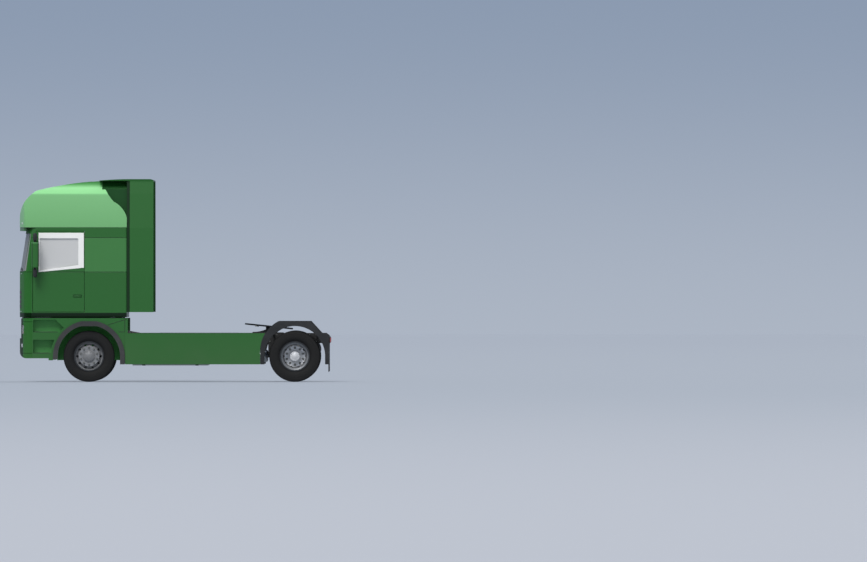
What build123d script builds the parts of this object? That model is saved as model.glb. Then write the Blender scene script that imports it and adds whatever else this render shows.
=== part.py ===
from build123d import *
import os
from math import cos, radians, sin

os.makedirs("parts", exist_ok=True)

# Semi truck tractor unit: two axles, cab over engine, high roof sleeper cab.
# X runs from the nose to the tail, Y to the vehicle's right, Z up from the ground.
# The origin is on the ground, under the middle of the truck. All sizes are in millimetres.

# Overall sizes
front_overhang = 1400
wheelbase = 4080
rear_overhang = 710
overall_width = 2550

# Wheels and tyres
tyre_radius = 507
tyre_width = 315
tyre_shoulder = 45
bead_radius = 286
rim_width = 250
rim_wall = 9
tyre_gap = 35
tyre_inset = 32
front_tyre_inset = 92
kingpin_offset = 175
kingpin_radius = 25
spindle_radius = 42
running_gap = 0.3
hub_radius = 95
hub_flange_radius = 200
hand_hole_circle = 250
hand_hole_radius = 26
hand_hole_count = 10

# Frame
rail_top = 965
rail_depth = 200
rail_outer_half = 430
rail_flange = 75
rail_wall = 9
rail_start = 260
rail_tail_gap = 80
member_width = 90

# Engine and gearbox
engine_ahead = 620
engine_length = 1180
engine_half = 330
engine_top = 1380
gearbox_length = 820
shaft_height = 760

# Cab
cab_length = 2149
cab_side_inset = 30
cab_bottom = 1283
cab_chamfer_top = 1363
cab_chamfer = 40
belt_height = 2179
cab_joint_height = 3055
cab_side_lean = 30
cab_wall = 60
cab_corner = 150
cab_bow = 124
cab_rear_corner = 30
windscreen_rake = 136
windscreen_bottom = 2195
windscreen_top = 2940
windscreen_side_wall = 95
panel_gap = 8
seal_gap = 0.3
sill_gap = 6
floor_top = 1440
floor_bottom = 1370
floor_wall = 50
tunnel_half = 450
tunnel_top = 1600
tilt_behind_bumper = 41
cab_tilt_height = 900
pivot_arm_inset = 15
pivot_arm_wall = 26
pivot_pin_radius = 22

# Doors and mirrors
door_front = 288
door_rear = 1306
door_bottom = 1391
door_top = 2985
door_roll_radius = 12
window_front = 425
window_rear = 1190
window_top = 2846
window_front_sill = 2210
window_rear_sill = 2318
glass_thickness = 6
handle_behind = 130
handle_length = 170
handle_depth = 20
handle_opening = 60
handle_height = 1700
mirror_front = 269
mirror_rear = 408
mirror_bottom = 2269
mirror_top = 2766
mirror_reach = 110
mirror_width = 200

# Roof and air deflectors
roof_wall = 40
roof_front_top = 3254
crease_height = 3731
crease_inset = 95
roof_peak_inset = 260
roof_brow_behind = 95
roof_brow_height = 3525
crown_start_behind = 360
crown_start_height = 3790
crown_middle_height = 3905
crown_middle_share = 540 / 1390
crown_end_ahead = 399
shoulder_middle = (79, 3420)
shoulder_end = (259, 3572)
neck_middle = (389, 3750)
neck_top_ahead = 497
visor_bottom = 2995
visor_depth = 90
visor_run = 150
visor_step = 4
recess_inset = 80
deflector_gap = 60
deflector_run = 468
deflector_bottom = 1383
deflector_top = 3980
deflector_wall = 35
deflector_peak = 4020
hood_ahead = 549
hood_start_rise = 12
hood_bend_run = 280
hood_bend_drop = 8
deflector_lean = 18
deflector_top_lean = 20
inner_strip_inset = 25
inner_strip_wall = 40

# Front service panel and lower grille
front_panel_bottom = 1400
front_panel_top = 2142
front_panel_half = 860
front_panel_wall = 25
panel_hinge_behind = 4
panel_hinge_height = 2150
panel_pin_radius = 3.5
panel_pin_length = 100
panel_pin_y = 110
grille_front = 45
grille_wall = 28
grille_bottom = 1000
grille_half = 725
slat_pitch = 62

# Bumper, steps and wheel arches
bumper_bottom = 468
bumper_top = 1264
bumper_centre_top = 860
bumper_centre_half = 745
bumper_side = 279
bumper_wall = 70
bumper_curl = 160
step_bottom = 428
step_depth = 260
step_recess = 170
arch_inner = 617
arch_outer = 711
arch_inner_flat = 1104
arch_outer_flat = 1204
arch_bottom = 348
liner_wall = 12
splash_rail_gap = 90

# Side skirts and what is behind them
skirt_arch_gap = 8
skirt_bottom = 348
skirt_wall = 30
skirt_gap = 4
tank_height = 600
tank_width = 620
tank_corner = 120
tank_rail_gap = 30
tank_behind_skirt = 141
tank_length = 1500
air_tank_radius = 125
air_tank_length = 1150

# Rear mudguards
guard_radius = 600
guard_wall = 15
guard_top = 1204
guard_front_reach = 684
guard_rear_reach = 679
guard_round_start = 640
guard_round_middle = (570, 985)
guard_flat_front = 326
guard_flat_rear = 311
guard_slope_end = 530
guard_shelf_end = 610
guard_shelf_drop = 915
flap_bottom = 200
flap_wall = 14
flap_inset = 7
valance_wall = 26
guard_stay_radius = 20

# Fifth wheel
fifth_ahead = 545
fifth_pivot_height = 1040
fifth_plate_top = 1117
fifth_plate_half = 450
fifth_plate_front = 457
fifth_plate_rear = 498
fifth_plate_thickness = 30
fifth_tilt = 5.9
kingpin_seat_radius = 25.8
throat_half = 90
fifth_pin_radius = 20
fifth_lug_radius = 38
fifth_bracket_y = 330
fifth_bracket_wall = 24

# Worked out from the sizes above
overall_length = front_overhang + wheelbase + rear_overhang
deflector_start = cab_length + deflector_gap
deflector_rear = deflector_start + deflector_run
skirt_start = front_overhang + arch_outer + skirt_arch_gap
tank_start = skirt_start + tank_behind_skirt
pivot_arm_y = rail_outer_half - pivot_arm_inset
front_x = -overall_length / 2
tail_x = overall_length / 2
front_axle_x = front_x + front_overhang
rear_axle_x = front_axle_x + wheelbase
cab_rear_x = front_x + cab_length
body_half = overall_width / 2
cab_half = body_half - cab_side_inset
cab_width = 2 * cab_half
cab_top_half = cab_half - cab_side_lean
windscreen_half = cab_half - windscreen_side_wall
crease_half = cab_top_half - crease_inset
roof_peak_half = crease_half - roof_peak_inset
recess_half = crease_half - recess_inset
rear_outer_y = body_half - tyre_inset - tyre_width / 2
rear_inner_y = rear_outer_y - tyre_width - tyre_gap
rear_twin_y = (rear_outer_y + rear_inner_y) / 2
front_tyre_y = body_half - front_tyre_inset - tyre_width / 2
kingpin_y = front_tyre_y - kingpin_offset
splash_inner = rail_outer_half + splash_rail_gap
rail_bottom = rail_top - rail_depth
rail_tail_x = tail_x - rail_tail_gap
engine_start = front_x + engine_ahead
rail_front_x = front_x + rail_start
rail_middle_y = rail_outer_half - rail_flange / 2
bracket_y = pivot_arm_y + pivot_arm_wall / 2 + 5
bracket_wall = 22
bumper_back = bumper_wall + cab_bow * ((bracket_y + bracket_wall) / (cab_half - bumper_wall)) ** 2
tilt_x = front_x + round(bumper_back + tilt_behind_bumper)
door_hinge_x = front_x + door_front + door_roll_radius
fifth_x = rear_axle_x - fifth_ahead
skirt_y = body_half - 10
tank_inner_y = rail_outer_half + tank_rail_gap
tank_middle_y = tank_inner_y + tank_width / 2
tank_outer_y = tank_inner_y + tank_width
tank_middle_z = rail_top - 40 - tank_height / 2
sides = ((-1, "left"), (1, "right"))


def side_plane(y=0):
    """Plane along the truck at y, drawn in X and Z; extrusions run towards the left side."""
    return Plane.XZ.offset(-y)


def cross_plane(x=0):
    """Plane across the truck at x, drawn in Y and Z; extrusions run towards the tail."""
    return Plane.YZ.offset(x)


def behind(distance):
    """Place on X that lies a distance behind the nose."""
    return front_x + distance


def outline(*points):
    """Face of the sketch in hand with straight edges through the points."""
    Polygon(*points, align=None)


def cab_outline(nose, half, inset=0):
    """Plan of the cab at one height: bowed front, round corners, straight sides and back."""
    front = front_x + nose + inset
    side = half - inset
    back = cab_rear_x - inset
    corner_x = front + cab_bow
    with BuildSketch() as plan:
        with BuildLine():
            ThreePointArc((corner_x, -side), (front, 0), (corner_x, side))
            Polyline((corner_x, side), (back, side), (back, -side), (corner_x, -side))
        make_face()
        front_corners = vertices().filter_by_position(Axis.X, corner_x - 1, corner_x + 1)
        fillet(front_corners, radius=cab_corner - inset)
        back_corners = vertices().filter_by_position(Axis.X, back - 1, back + 1)
        fillet(back_corners, radius=cab_rear_corner)
    return plan.sketch


def cab_form(inset=0):
    """Solid of the cab below its roof, moved in by an inset on every upright face."""
    sections = (
        # height, nose behind the front, half width
        (cab_bottom, 0, cab_half - cab_chamfer),
        (cab_chamfer_top, 0, cab_half),
        (belt_height, 0, cab_half),
        (cab_joint_height, windscreen_rake, cab_top_half),
    )
    with BuildPart() as form:
        for height, nose, half in sections:
            with BuildSketch(Plane.XY.offset(height)):
                add(cab_outline(nose, half, inset))
        loft(ruled=True)
    return form.part


def roof_profile(inset=0):
    """Side view of the roof in X and Z: upright lip, round brow, long crown."""
    front = front_x + inset
    top = deflector_peak - deflector_wall - inset
    bottom = cab_joint_height
    with BuildSketch() as view:
        with BuildLine():
            lip = Line((front, bottom), (front, roof_front_top))
            brow = ThreePointArc(
                lip @ 1,
                (behind(roof_brow_behind) + inset * 0.8, roof_brow_height - inset * 0.6),
                (behind(crown_start_behind), crown_start_height - inset),
            )
            crown_end = cab_rear_x - crown_end_ahead
            crown_start = behind(crown_start_behind)
            crown_middle = crown_start + (crown_end - crown_start) * crown_middle_share
            crown = ThreePointArc(brow @ 1, (crown_middle, crown_middle_height - inset), (crown_end, top))
            Polyline(crown @ 1, (cab_rear_x - inset, top), (cab_rear_x - inset, bottom), (front, bottom))
        make_face()
    return view.sketch


def roof_form(inset=0, nose_inset=0):
    """Solid of the roof: side view, cross section and plan in one another."""
    top = deflector_peak
    with BuildPart() as form:
        with BuildSketch(side_plane(cab_half)):
            add(roof_profile(inset))
        extrude(amount=cab_width)
        with BuildSketch(cross_plane(front_x - 10)):
            outline(
                (-cab_top_half + inset, cab_joint_height),
                (-crease_half + inset, crease_height - inset / 2),
                (-roof_peak_half, top - inset),
                (roof_peak_half, top - inset),
                (crease_half - inset, crease_height - inset / 2),
                (cab_top_half - inset, cab_joint_height),
            )
        extrude(amount=cab_length + 20, mode=Mode.INTERSECT)
        with BuildSketch(Plane.XY.offset(cab_joint_height)):
            add(cab_outline(nose_inset, cab_top_half + 20, inset))
        extrude(amount=1200, mode=Mode.INTERSECT)
    return form.part


def door_outline(grow=0):
    """Side view of a door's edge, grown outwards by a gap."""
    outline(
        (behind(door_front) - grow, door_bottom - grow),
        (behind(door_front) - grow, belt_height + 300),
        (behind(door_front) + 70 - grow, door_top + grow),
        (behind(door_rear) + grow, door_top + grow),
        (behind(door_rear) + grow, door_bottom - grow),
    )


def window_outline(grow=0):
    """Side view of a door's glass, grown outwards by a gap."""
    outline(
        (behind(window_front) - grow, window_front_sill - grow),
        (behind(window_front) - grow, window_top + grow),
        (behind(window_rear) + grow, window_top + grow),
        (behind(window_rear) + grow, window_rear_sill - grow),
    )


def windscreen_outline(shrink=0):
    """Front view of the windscreen's opening in Y and Z."""
    half = windscreen_half - shrink
    outline(
        (-half, windscreen_bottom + shrink),
        (-half + 20, windscreen_top - shrink),
        (half - 20, windscreen_top - shrink),
        (half, windscreen_bottom + shrink),
    )


def front_band(front, wall, half):
    """Plan of a bowed band across the nose, its face a distance behind the front."""
    face = front_x + front
    reach = cab_bow * (half / cab_half) ** 2
    with BuildSketch() as plan:
        with BuildLine():
            outer = ThreePointArc((face + reach, -half), (face, 0), (face + reach, half))
            inner = ThreePointArc((face + reach + wall, -half), (face + wall, 0), (face + reach + wall, half))
            Line(outer @ 0, inner @ 0)
            Line(outer @ 1, inner @ 1)
        make_face()
    return plan.sketch


# Cab shells that the panels are cut from
cab_outer = cab_form()
cab_inner = cab_form(cab_wall)
with BuildPart() as cab_shell:
    add(cab_outer)
    add(cab_inner, mode=Mode.SUBTRACT)
shell = cab_shell.part

# Frame rails: two channels open to the middle
with BuildPart() as frame_rails:
    with BuildSketch(cross_plane(rail_front_x)):
        outline(
            (rail_outer_half, rail_top),
            (rail_outer_half, rail_bottom),
            (rail_outer_half - rail_flange, rail_bottom),
            (rail_outer_half - rail_flange, rail_bottom + rail_wall),
            (rail_outer_half - rail_wall, rail_bottom + rail_wall),
            (rail_outer_half - rail_wall, rail_top - rail_wall),
            (rail_outer_half - rail_flange, rail_top - rail_wall),
            (rail_outer_half - rail_flange, rail_top),
        )
    extrude(amount=rail_tail_x - rail_front_x)
    mirror(about=Plane.XZ)
frame_rails.part.label = "frame_rails"
export_step(frame_rails.part, "parts/frame_rails.step")

# Cross members: channel sections bolted between the webs of the rails
member_half = rail_outer_half - rail_wall
members = (
    # place of the front edge, height of the lower edge
    (rail_front_x + 2, rail_bottom + 20),
    (engine_start + engine_length + gearbox_length + 80, rail_top - 95),
    (behind(skirt_start) / 2 + rear_axle_x / 2, rail_bottom + 20),
    (fifth_x - 420, rail_bottom + 20),
    (fifth_x + 60, rail_bottom + 20),
    (rear_axle_x + 520, rail_bottom + 20),
    (rail_tail_x - member_width, rail_bottom + 20),
)
with BuildPart() as cross_members:
    for place, low in members:
        with BuildSketch(side_plane(member_half)):
            outline(
                (place, low),
                (place, rail_top - 20),
                (place + member_width, rail_top - 20),
                (place + member_width, rail_top - 20 - rail_wall),
                (place + rail_wall, rail_top - 20 - rail_wall),
                (place + rail_wall, low + rail_wall),
                (place + member_width, low + rail_wall),
                (place + member_width, low),
            )
        extrude(amount=2 * member_half)
cross_members.part.label = "cross_members"
export_step(cross_members.part, "parts/cross_members.step")

# Radiator between the front ends of the rails
radiator_behind = 430
radiator_middle_z = 960
radiator_depth = 110
radiator_height = 560
fan_radius = 275
with BuildPart() as radiator:
    with Locations((behind(radiator_behind), 0, radiator_middle_z)):
        Box(radiator_depth, 2 * (rail_outer_half - rail_flange - seal_gap), radiator_height)
    with Locations((behind(radiator_behind + 70), 0, radiator_middle_z)):
        Cylinder(radius=fan_radius, height=60, rotation=(0, 90, 0))
radiator.part.label = "radiator"
export_step(radiator.part, "parts/radiator.step")

# Engine with its gearbox behind
with BuildPart() as engine:
    with BuildSketch(cross_plane(engine_start)):
        outline(
            (-engine_half + 60, 600),
            (-engine_half, 820),
            (-engine_half, engine_top - 60),
            (-engine_half + 60, engine_top),
            (engine_half - 60, engine_top),
            (engine_half, engine_top - 60),
            (engine_half, 820),
            (engine_half - 60, 600),
        )
    extrude(amount=engine_length)
    with BuildSketch(cross_plane(engine_start + engine_length)):
        with Locations((0, shaft_height + 60)):
            Circle(260)
    with BuildSketch(cross_plane(engine_start + engine_length + gearbox_length)):
        with Locations((0, shaft_height + 20)):
            Circle(150)
    loft(ruled=True)
engine.part.label = "engine"
export_step(engine.part, "parts/engine.step")

# Propeller shaft from the gearbox to the rear axle's pinion nose
pinion_x = rear_axle_x - 420
gearbox_x = engine_start + engine_length + gearbox_length + seal_gap
shaft_run = pinion_x - seal_gap - gearbox_x
pinion_height = tyre_radius + 13
shaft_drop = shaft_height + 20 - pinion_height
shaft_plane = Plane(
    origin=(gearbox_x, 0, shaft_height + 20),
    x_dir=(0, 1, 0),
    z_dir=(shaft_run, 0, -shaft_drop),
)
with BuildPart() as propeller_shaft:
    with BuildSketch(shaft_plane.offset(40)):
        Circle(55)
    extrude(amount=(shaft_run**2 + shaft_drop**2) ** 0.5 - 80)
    with BuildSketch(cross_plane(gearbox_x)):
        with Locations((0, shaft_height + 20)):
            Circle(80)
    extrude(amount=70)
    with BuildSketch(cross_plane(pinion_x - seal_gap - 70)):
        with Locations((0, pinion_height)):
            Circle(80)
    extrude(amount=70)
propeller_shaft.part.label = "propeller_shaft"
export_step(propeller_shaft.part, "parts/propeller_shaft.step")

# Front axle: dropped beam with an eye for each kingpin
eye_radius = 52
eye_half = 48
beam_half_height = 45
beam_drop = 95
with BuildPart() as front_axle:
    with BuildSketch(cross_plane(front_axle_x - 42)):
        low = tyre_radius - beam_drop
        outline(
            (-kingpin_y, tyre_radius - beam_half_height),
            (-kingpin_y + 130, tyre_radius - beam_half_height),
            (-kingpin_y + 290, low - beam_half_height),
            (kingpin_y - 290, low - beam_half_height),
            (kingpin_y - 130, tyre_radius - beam_half_height),
            (kingpin_y, tyre_radius - beam_half_height),
            (kingpin_y, tyre_radius + beam_half_height),
            (kingpin_y - 130, tyre_radius + beam_half_height),
            (kingpin_y - 290, low + beam_half_height),
            (-kingpin_y + 290, low + beam_half_height),
            (-kingpin_y + 130, tyre_radius + beam_half_height),
            (-kingpin_y, tyre_radius + beam_half_height),
        )
    extrude(amount=84)
    with Locations((front_axle_x, -kingpin_y, tyre_radius), (front_axle_x, kingpin_y, tyre_radius)):
        Cylinder(radius=eye_radius, height=2 * eye_half)
        Cylinder(radius=kingpin_radius + running_gap, height=2 * eye_half, mode=Mode.SUBTRACT)
        Cylinder(radius=kingpin_radius + running_gap, height=2 * eye_half + 40, mode=Mode.SUBTRACT)
front_axle.part.label = "front_axle"
export_step(front_axle.part, "parts/front_axle.step")

# Front leaf springs with their hangers, one to a rail
spring_y = rail_middle_y
spring_half_width = 40
spring_thickness = 45
spring_half_length = 820
spring_low = tyre_radius - beam_drop + beam_half_height + seal_gap
spring_rise = 130
with BuildPart() as front_springs:
    with BuildSketch(side_plane(spring_y + spring_half_width)):
        with BuildLine():
            ends = front_axle_x - spring_half_length, front_axle_x + spring_half_length
            low_arc = ThreePointArc(
                (ends[0], spring_low + spring_rise), (front_axle_x, spring_low), (ends[1], spring_low + spring_rise)
            )
            high_arc = ThreePointArc(
                (ends[0], spring_low + spring_rise + spring_thickness),
                (front_axle_x, spring_low + spring_thickness),
                (ends[1], spring_low + spring_rise + spring_thickness),
            )
            Line(low_arc @ 0, high_arc @ 0)
            Line(low_arc @ 1, high_arc @ 1)
        make_face()
        hanger_low = spring_low + spring_rise - 20
        for place in ends:
            with Locations((place, (hanger_low + rail_bottom - seal_gap) / 2)):
                Rectangle(90, rail_bottom - seal_gap - hanger_low)
        with Locations((front_axle_x, spring_low + 70)):
            Rectangle(150, 90)
    extrude(amount=2 * spring_half_width)
    with Locations((front_axle_x + 0, spring_y, spring_low + 165)):
        Cylinder(radius=35, height=100)
    mirror(about=Plane.XZ)
front_springs.part.label = "front_springs"
export_step(front_springs.part, "parts/front_springs.step")

# Rear axle: tube, banjo housing, pinion nose and spindles
axle_tube_radius = 75
banjo_radius = 225
hub_end_y = rear_outer_y - 5
drum_start_y = rear_inner_y - 170
with BuildPart() as rear_axle:
    with Locations((rear_axle_x, 0, tyre_radius)):
        Cylinder(radius=axle_tube_radius, height=2 * (drum_start_y - 10), rotation=(90, 0, 0))
        Cylinder(radius=spindle_radius, height=2 * hub_end_y, rotation=(90, 0, 0))
        Sphere(radius=banjo_radius)
    with BuildSketch(cross_plane(pinion_x)):
        with Locations((0, pinion_height)):
            Circle(75)
    with BuildSketch(cross_plane(rear_axle_x - 60)):
        with Locations((0, tyre_radius)):
            Circle(170)
    loft(ruled=True)
rear_axle.part.label = "rear_axle"
export_step(rear_axle.part, "parts/rear_axle.step")

# Rear suspension: trailing arms under the axle with their hangers
arm_half_width = 35
arm_hanger_front = 535
arm_hanger_rear = 440
arm_clamp_half = 130
arm_clamp_depth = 70
arm_tail = 500
arm_tail_height = 50
arm_seat = tyre_radius - axle_tube_radius - seal_gap
with BuildPart() as rear_suspension:
    with BuildSketch(side_plane(rail_middle_y + arm_half_width)):
        outline(
            (rear_axle_x - arm_hanger_front, rail_bottom - seal_gap),
            (rear_axle_x - arm_hanger_front, tyre_radius + 53),
            (rear_axle_x - arm_hanger_front + 35, tyre_radius + 13),
            (rear_axle_x - arm_clamp_half, arm_seat - arm_clamp_depth),
            (rear_axle_x + arm_clamp_half, arm_seat - arm_clamp_depth),
            (rear_axle_x + arm_tail, tyre_radius - 27 - arm_tail_height),
            (rear_axle_x + arm_tail, tyre_radius - 27),
            (rear_axle_x + arm_clamp_half, arm_seat),
            (rear_axle_x - arm_clamp_half, arm_seat),
            (rear_axle_x - arm_hanger_rear, tyre_radius + 73),
            (rear_axle_x - arm_hanger_rear, rail_bottom - seal_gap),
        )
    extrude(amount=2 * arm_half_width)
    mirror(about=Plane.XZ)
rear_suspension.part.label = "rear_suspension"
export_step(rear_suspension.part, "parts/rear_suspension.step")

# Air springs between the trailing arms and the rails
bellows_radius = 115
bellows_gap = 70.5
bellows_pad = 70
beside_tyre_y = rear_inner_y - tyre_width / 2 - bellows_radius - bellows_gap
air_spring_y = 0.7 * rail_middle_y + 0.3 * beside_tyre_y
spring_places = ((rear_axle_x - 270, tyre_radius + 35), (rear_axle_x + 400, tyre_radius - 25))
with BuildPart() as air_springs:
    for place, low in spring_places:
        high = rail_bottom - seal_gap
        with BuildSketch(side_plane(air_spring_y)):
            with BuildLine():
                Polyline((place, low), (place + bellows_pad, low), (place + bellows_pad, low + 50))
                ThreePointArc(
                    (place + bellows_pad, low + 50),
                    (place + bellows_radius, (low + high) / 2 + 20),
                    (place + bellows_pad + 10, high - 12),
                )
                Polyline(
                    (place + bellows_pad + 10, high - 12), (place + bellows_pad + 10, high), (place, high), (place, low)
                )
            make_face()
        revolve(axis=Axis((place, air_spring_y, 0), (0, 0, 1)))
    mirror(about=Plane.XZ)
air_springs.part.label = "air_springs"
export_step(air_springs.part, "parts/air_springs.step")

# Bumper: bowed front wrapped round both corners, low in the middle
lamp_low = 950
lamp_high = 1130
lamp_inner_y = 800
lamp_outer_y = 1130
with BuildPart() as bumper:
    with BuildSketch(Plane.XY.offset(bumper_bottom)):
        add(cab_outline(0, cab_half))
        add(cab_outline(0, cab_half, bumper_wall), mode=Mode.SUBTRACT)
    extrude(amount=bumper_top - bumper_bottom)
    with BuildSketch(side_plane(cab_half)):
        with BuildLine():
            curl = ThreePointArc(
                (behind(bumper_curl), bumper_bottom),
                (behind(bumper_curl * (1 - sin(radians(45)))), bumper_bottom + bumper_curl * (1 - cos(radians(45)))),
                (behind(0), bumper_bottom + bumper_curl),
            )
            brow = ThreePointArc(
                (behind(0), bumper_top - 80),
                (behind(80 * (1 - cos(radians(45)))), bumper_top - 80 * (1 - sin(radians(45)))),
                (behind(80), bumper_top),
            )
            Line(curl @ 1, brow @ 0)
            Polyline(brow @ 1, (behind(bumper_side), bumper_top), (behind(bumper_side), bumper_bottom), curl @ 0)
        make_face()
    extrude(amount=cab_width, mode=Mode.INTERSECT)
    with Locations((behind(150), 0, bumper_centre_top + 300)):
        Box(400, 2 * bumper_centre_half, 600, mode=Mode.SUBTRACT)
    for side in (-1, 1):
        with Locations((behind(150), side * (lamp_inner_y + lamp_outer_y) / 2, (lamp_low + lamp_high) / 2)):
            Box(400, lamp_outer_y - lamp_inner_y, lamp_high - lamp_low, mode=Mode.SUBTRACT)
bumper.part.label = "bumper"
export_step(bumper.part, "parts/bumper.step")

# Headlamps set in the bumper's corners
with BuildPart() as headlamps:
    with BuildSketch(Plane.XY.offset(lamp_low + seal_gap)):
        add(cab_outline(0, cab_half, 8))
        add(cab_outline(0, cab_half, bumper_wall), mode=Mode.SUBTRACT)
    extrude(amount=lamp_high - lamp_low - 2 * seal_gap)
    lamp_width = lamp_outer_y - lamp_inner_y - 2 * seal_gap
    with BuildSketch(cross_plane(behind(0))):
        for side in (-1, 1):
            with Locations((side * (lamp_inner_y + lamp_outer_y) / 2, (lamp_low + lamp_high) / 2)):
                Rectangle(lamp_width, lamp_high - lamp_low)
    extrude(amount=bumper_side, mode=Mode.INTERSECT)
headlamps.part.label = "headlamps"
export_step(headlamps.part, "parts/headlamps.step")


def arch_outline(radius, flat_top, low):
    """Side view of the front wheel arch: round with a flat top."""
    with BuildSketch() as view:
        with Locations((front_axle_x, tyre_radius)):
            Circle(radius)
        with Locations((front_axle_x, (flat_top + low) / 2)):
            Rectangle(2 * radius, flat_top - low, mode=Mode.INTERSECT)
        with Locations((front_axle_x, (tyre_radius + low) / 2)):
            Rectangle(2 * radius, tyre_radius - low)
    return view.sketch


# Lower side panels with the entry steps, from the bumper to behind the wheel arch
panel_wall = 30
step_bands = ((567, 836), (985, 1234))
step_wall = 15
step_edge_gap = 45
step_slope_start = 736
step_slope_end = 915
step_slope_low = 1064
with BuildPart() as side_panels:
    with BuildSketch(side_plane(cab_half)):
        outline(
            (behind(bumper_side) + seal_gap, bumper_bottom),
            (behind(bumper_side) + seal_gap, bumper_top),
            (behind(cab_length + 20), bumper_top),
            (behind(cab_length + 20), rail_top + seal_gap),
            (behind(skirt_start) - seal_gap, rail_top + seal_gap),
            (behind(skirt_start) - seal_gap, step_bottom),
            (behind(600), step_bottom),
            (behind(600), bumper_bottom),
        )
        add(arch_outline(arch_outer + seal_gap, arch_outer_flat + seal_gap, step_bottom - 10), mode=Mode.SUBTRACT)
        with Locations((behind(skirt_start) - seal_gap, step_bottom - 10)):
            Rectangle(
                400, rail_top + seal_gap - step_bottom + 10, align=(Align.MIN, Align.MIN), mode=Mode.SUBTRACT
            )
    extrude(amount=panel_wall)
    with BuildSketch(side_plane(cab_half - panel_wall)):
        outline(
            (behind(bumper_side) + seal_gap, bumper_bottom),
            (behind(bumper_side) + seal_gap, bumper_top),
            (behind(step_slope_end + 60), bumper_top),
            (behind(step_slope_end + 60), bumper_bottom),
        )
        with Locations((front_axle_x, tyre_radius)):
            Circle(arch_outer + step_wall, mode=Mode.SUBTRACT)
        with Locations((front_axle_x - arch_outer - step_wall, 0)):
            Rectangle(arch_outer, tyre_radius, align=(Align.MIN, Align.MIN), mode=Mode.SUBTRACT)
    extrude(amount=step_depth)
    for low, high in step_bands:
        with BuildSketch(side_plane(cab_half + 1)):
            outline(
                (behind(bumper_side + step_wall), low),
                (behind(bumper_side + step_wall), high),
                (behind(step_slope_start), high),
                (behind(step_slope_end), step_slope_low),
                (behind(step_slope_end), low),
            )
            with Locations((front_axle_x, tyre_radius)):
                Circle(arch_outer + step_edge_gap, mode=Mode.SUBTRACT)
        extrude(amount=step_recess, mode=Mode.SUBTRACT)
    mirror(about=Plane.XZ)
side_panels.part.label = "side_panels"
export_step(side_panels.part, "parts/side_panels.step")

# Front wheel arch trims
with BuildPart() as front_arch_trims:
    with BuildSketch(side_plane(body_half)):
        add(arch_outline(arch_outer, arch_outer_flat, arch_bottom))
        add(arch_outline(arch_inner, arch_inner_flat, arch_bottom - 50), mode=Mode.SUBTRACT)
        with Locations((front_axle_x - arch_outer, arch_bottom)):
            Rectangle(300, 200, mode=Mode.SUBTRACT)
    extrude(amount=body_half - cab_half + panel_wall)
    mirror(about=Plane.XZ)
front_arch_trims.part.label = "front_arch_trims"
export_step(front_arch_trims.part, "parts/front_arch_trims.step")

# Front wheel arch liners with the inner splash walls
with BuildPart() as front_arch_liners:
    with BuildSketch(side_plane(cab_half - panel_wall)):
        add(arch_outline(arch_inner + liner_wall, arch_inner_flat + liner_wall, step_bottom))
        add(arch_outline(arch_inner, arch_inner_flat, step_bottom - 10), mode=Mode.SUBTRACT)
    extrude(amount=cab_half - panel_wall - splash_inner)
    with BuildSketch(side_plane(splash_inner)):
        add(arch_outline(arch_inner + liner_wall, arch_inner_flat + liner_wall, step_bottom))
        with Locations((front_axle_x, step_bottom + 100)):
            Rectangle(760, 260, mode=Mode.SUBTRACT)
    extrude(amount=liner_wall)
    mirror(about=Plane.XZ)
front_arch_liners.part.label = "front_arch_liners"
export_step(front_arch_liners.part, "parts/front_arch_liners.step")


def guard_outline(grow=0):
    """Side view of a rear mudguard's outer edge."""
    left = rear_axle_x - guard_front_reach - grow
    right = rear_axle_x + guard_rear_reach
    with BuildSketch() as view:
        with BuildLine():
            Line((left, skirt_bottom - grow), (left, guard_round_start))
            ThreePointArc(
                (left, guard_round_start),
                (rear_axle_x - guard_round_middle[0] - grow * 0.7, guard_round_middle[1] + grow * 0.7),
                (rear_axle_x - guard_flat_front, guard_top + grow),
            )
            Polyline(
                (rear_axle_x - guard_flat_front, guard_top + grow),
                (rear_axle_x + guard_flat_rear, guard_top + grow),
                (rear_axle_x + guard_slope_end, rail_top),
                (rear_axle_x + guard_shelf_end, rail_top),
                (right, guard_shelf_drop),
                (right, skirt_bottom - grow),
                (left, skirt_bottom - grow),
            )
        make_face()
    return view.sketch


# Rear mudguards: curved guards over the twin wheels, side valances and flaps
guard_inner_y = rear_inner_y - tyre_width / 2 - 5
with BuildPart() as rear_mudguards:
    with BuildSketch(side_plane(skirt_y)):
        add(guard_outline())
        with Locations((rear_axle_x, tyre_radius)):
            Circle(guard_radius, mode=Mode.SUBTRACT)
        with Locations((rear_axle_x, tyre_radius - 300)):
            Rectangle(2 * guard_radius, 600, mode=Mode.SUBTRACT)
    extrude(amount=valance_wall)
    with BuildSketch(side_plane(skirt_y)):
        with Locations((rear_axle_x, tyre_radius)):
            Circle(guard_radius + guard_wall)
            Circle(guard_radius, mode=Mode.SUBTRACT)
        with Locations((rear_axle_x, tyre_radius - 500)):
            Rectangle(4 * guard_radius, 1000, mode=Mode.SUBTRACT)
        with Locations((rear_axle_x + guard_rear_reach - flap_inset, (flap_bottom + guard_shelf_drop) / 2)):
            Rectangle(flap_wall, guard_shelf_drop - flap_bottom)
        with Locations((rear_axle_x + guard_shelf_end + 30, 700)):
            Rectangle(80, flap_wall)
    extrude(amount=skirt_y - guard_inner_y)
    stay_length = guard_inner_y + 40 - rail_outer_half - seal_gap
    for ahead in (-1, 1):
        with Locations(
            (
                rear_axle_x + ahead * (guard_radius + guard_wall / 2) * cos(radians(45)),
                rail_outer_half + seal_gap + stay_length / 2,
                tyre_radius + (guard_radius + guard_wall / 2) * sin(radians(45)),
            )
        ):
            Cylinder(radius=guard_stay_radius, height=stay_length, rotation=(90, 0, 0))
    mirror(about=Plane.XZ)
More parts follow.
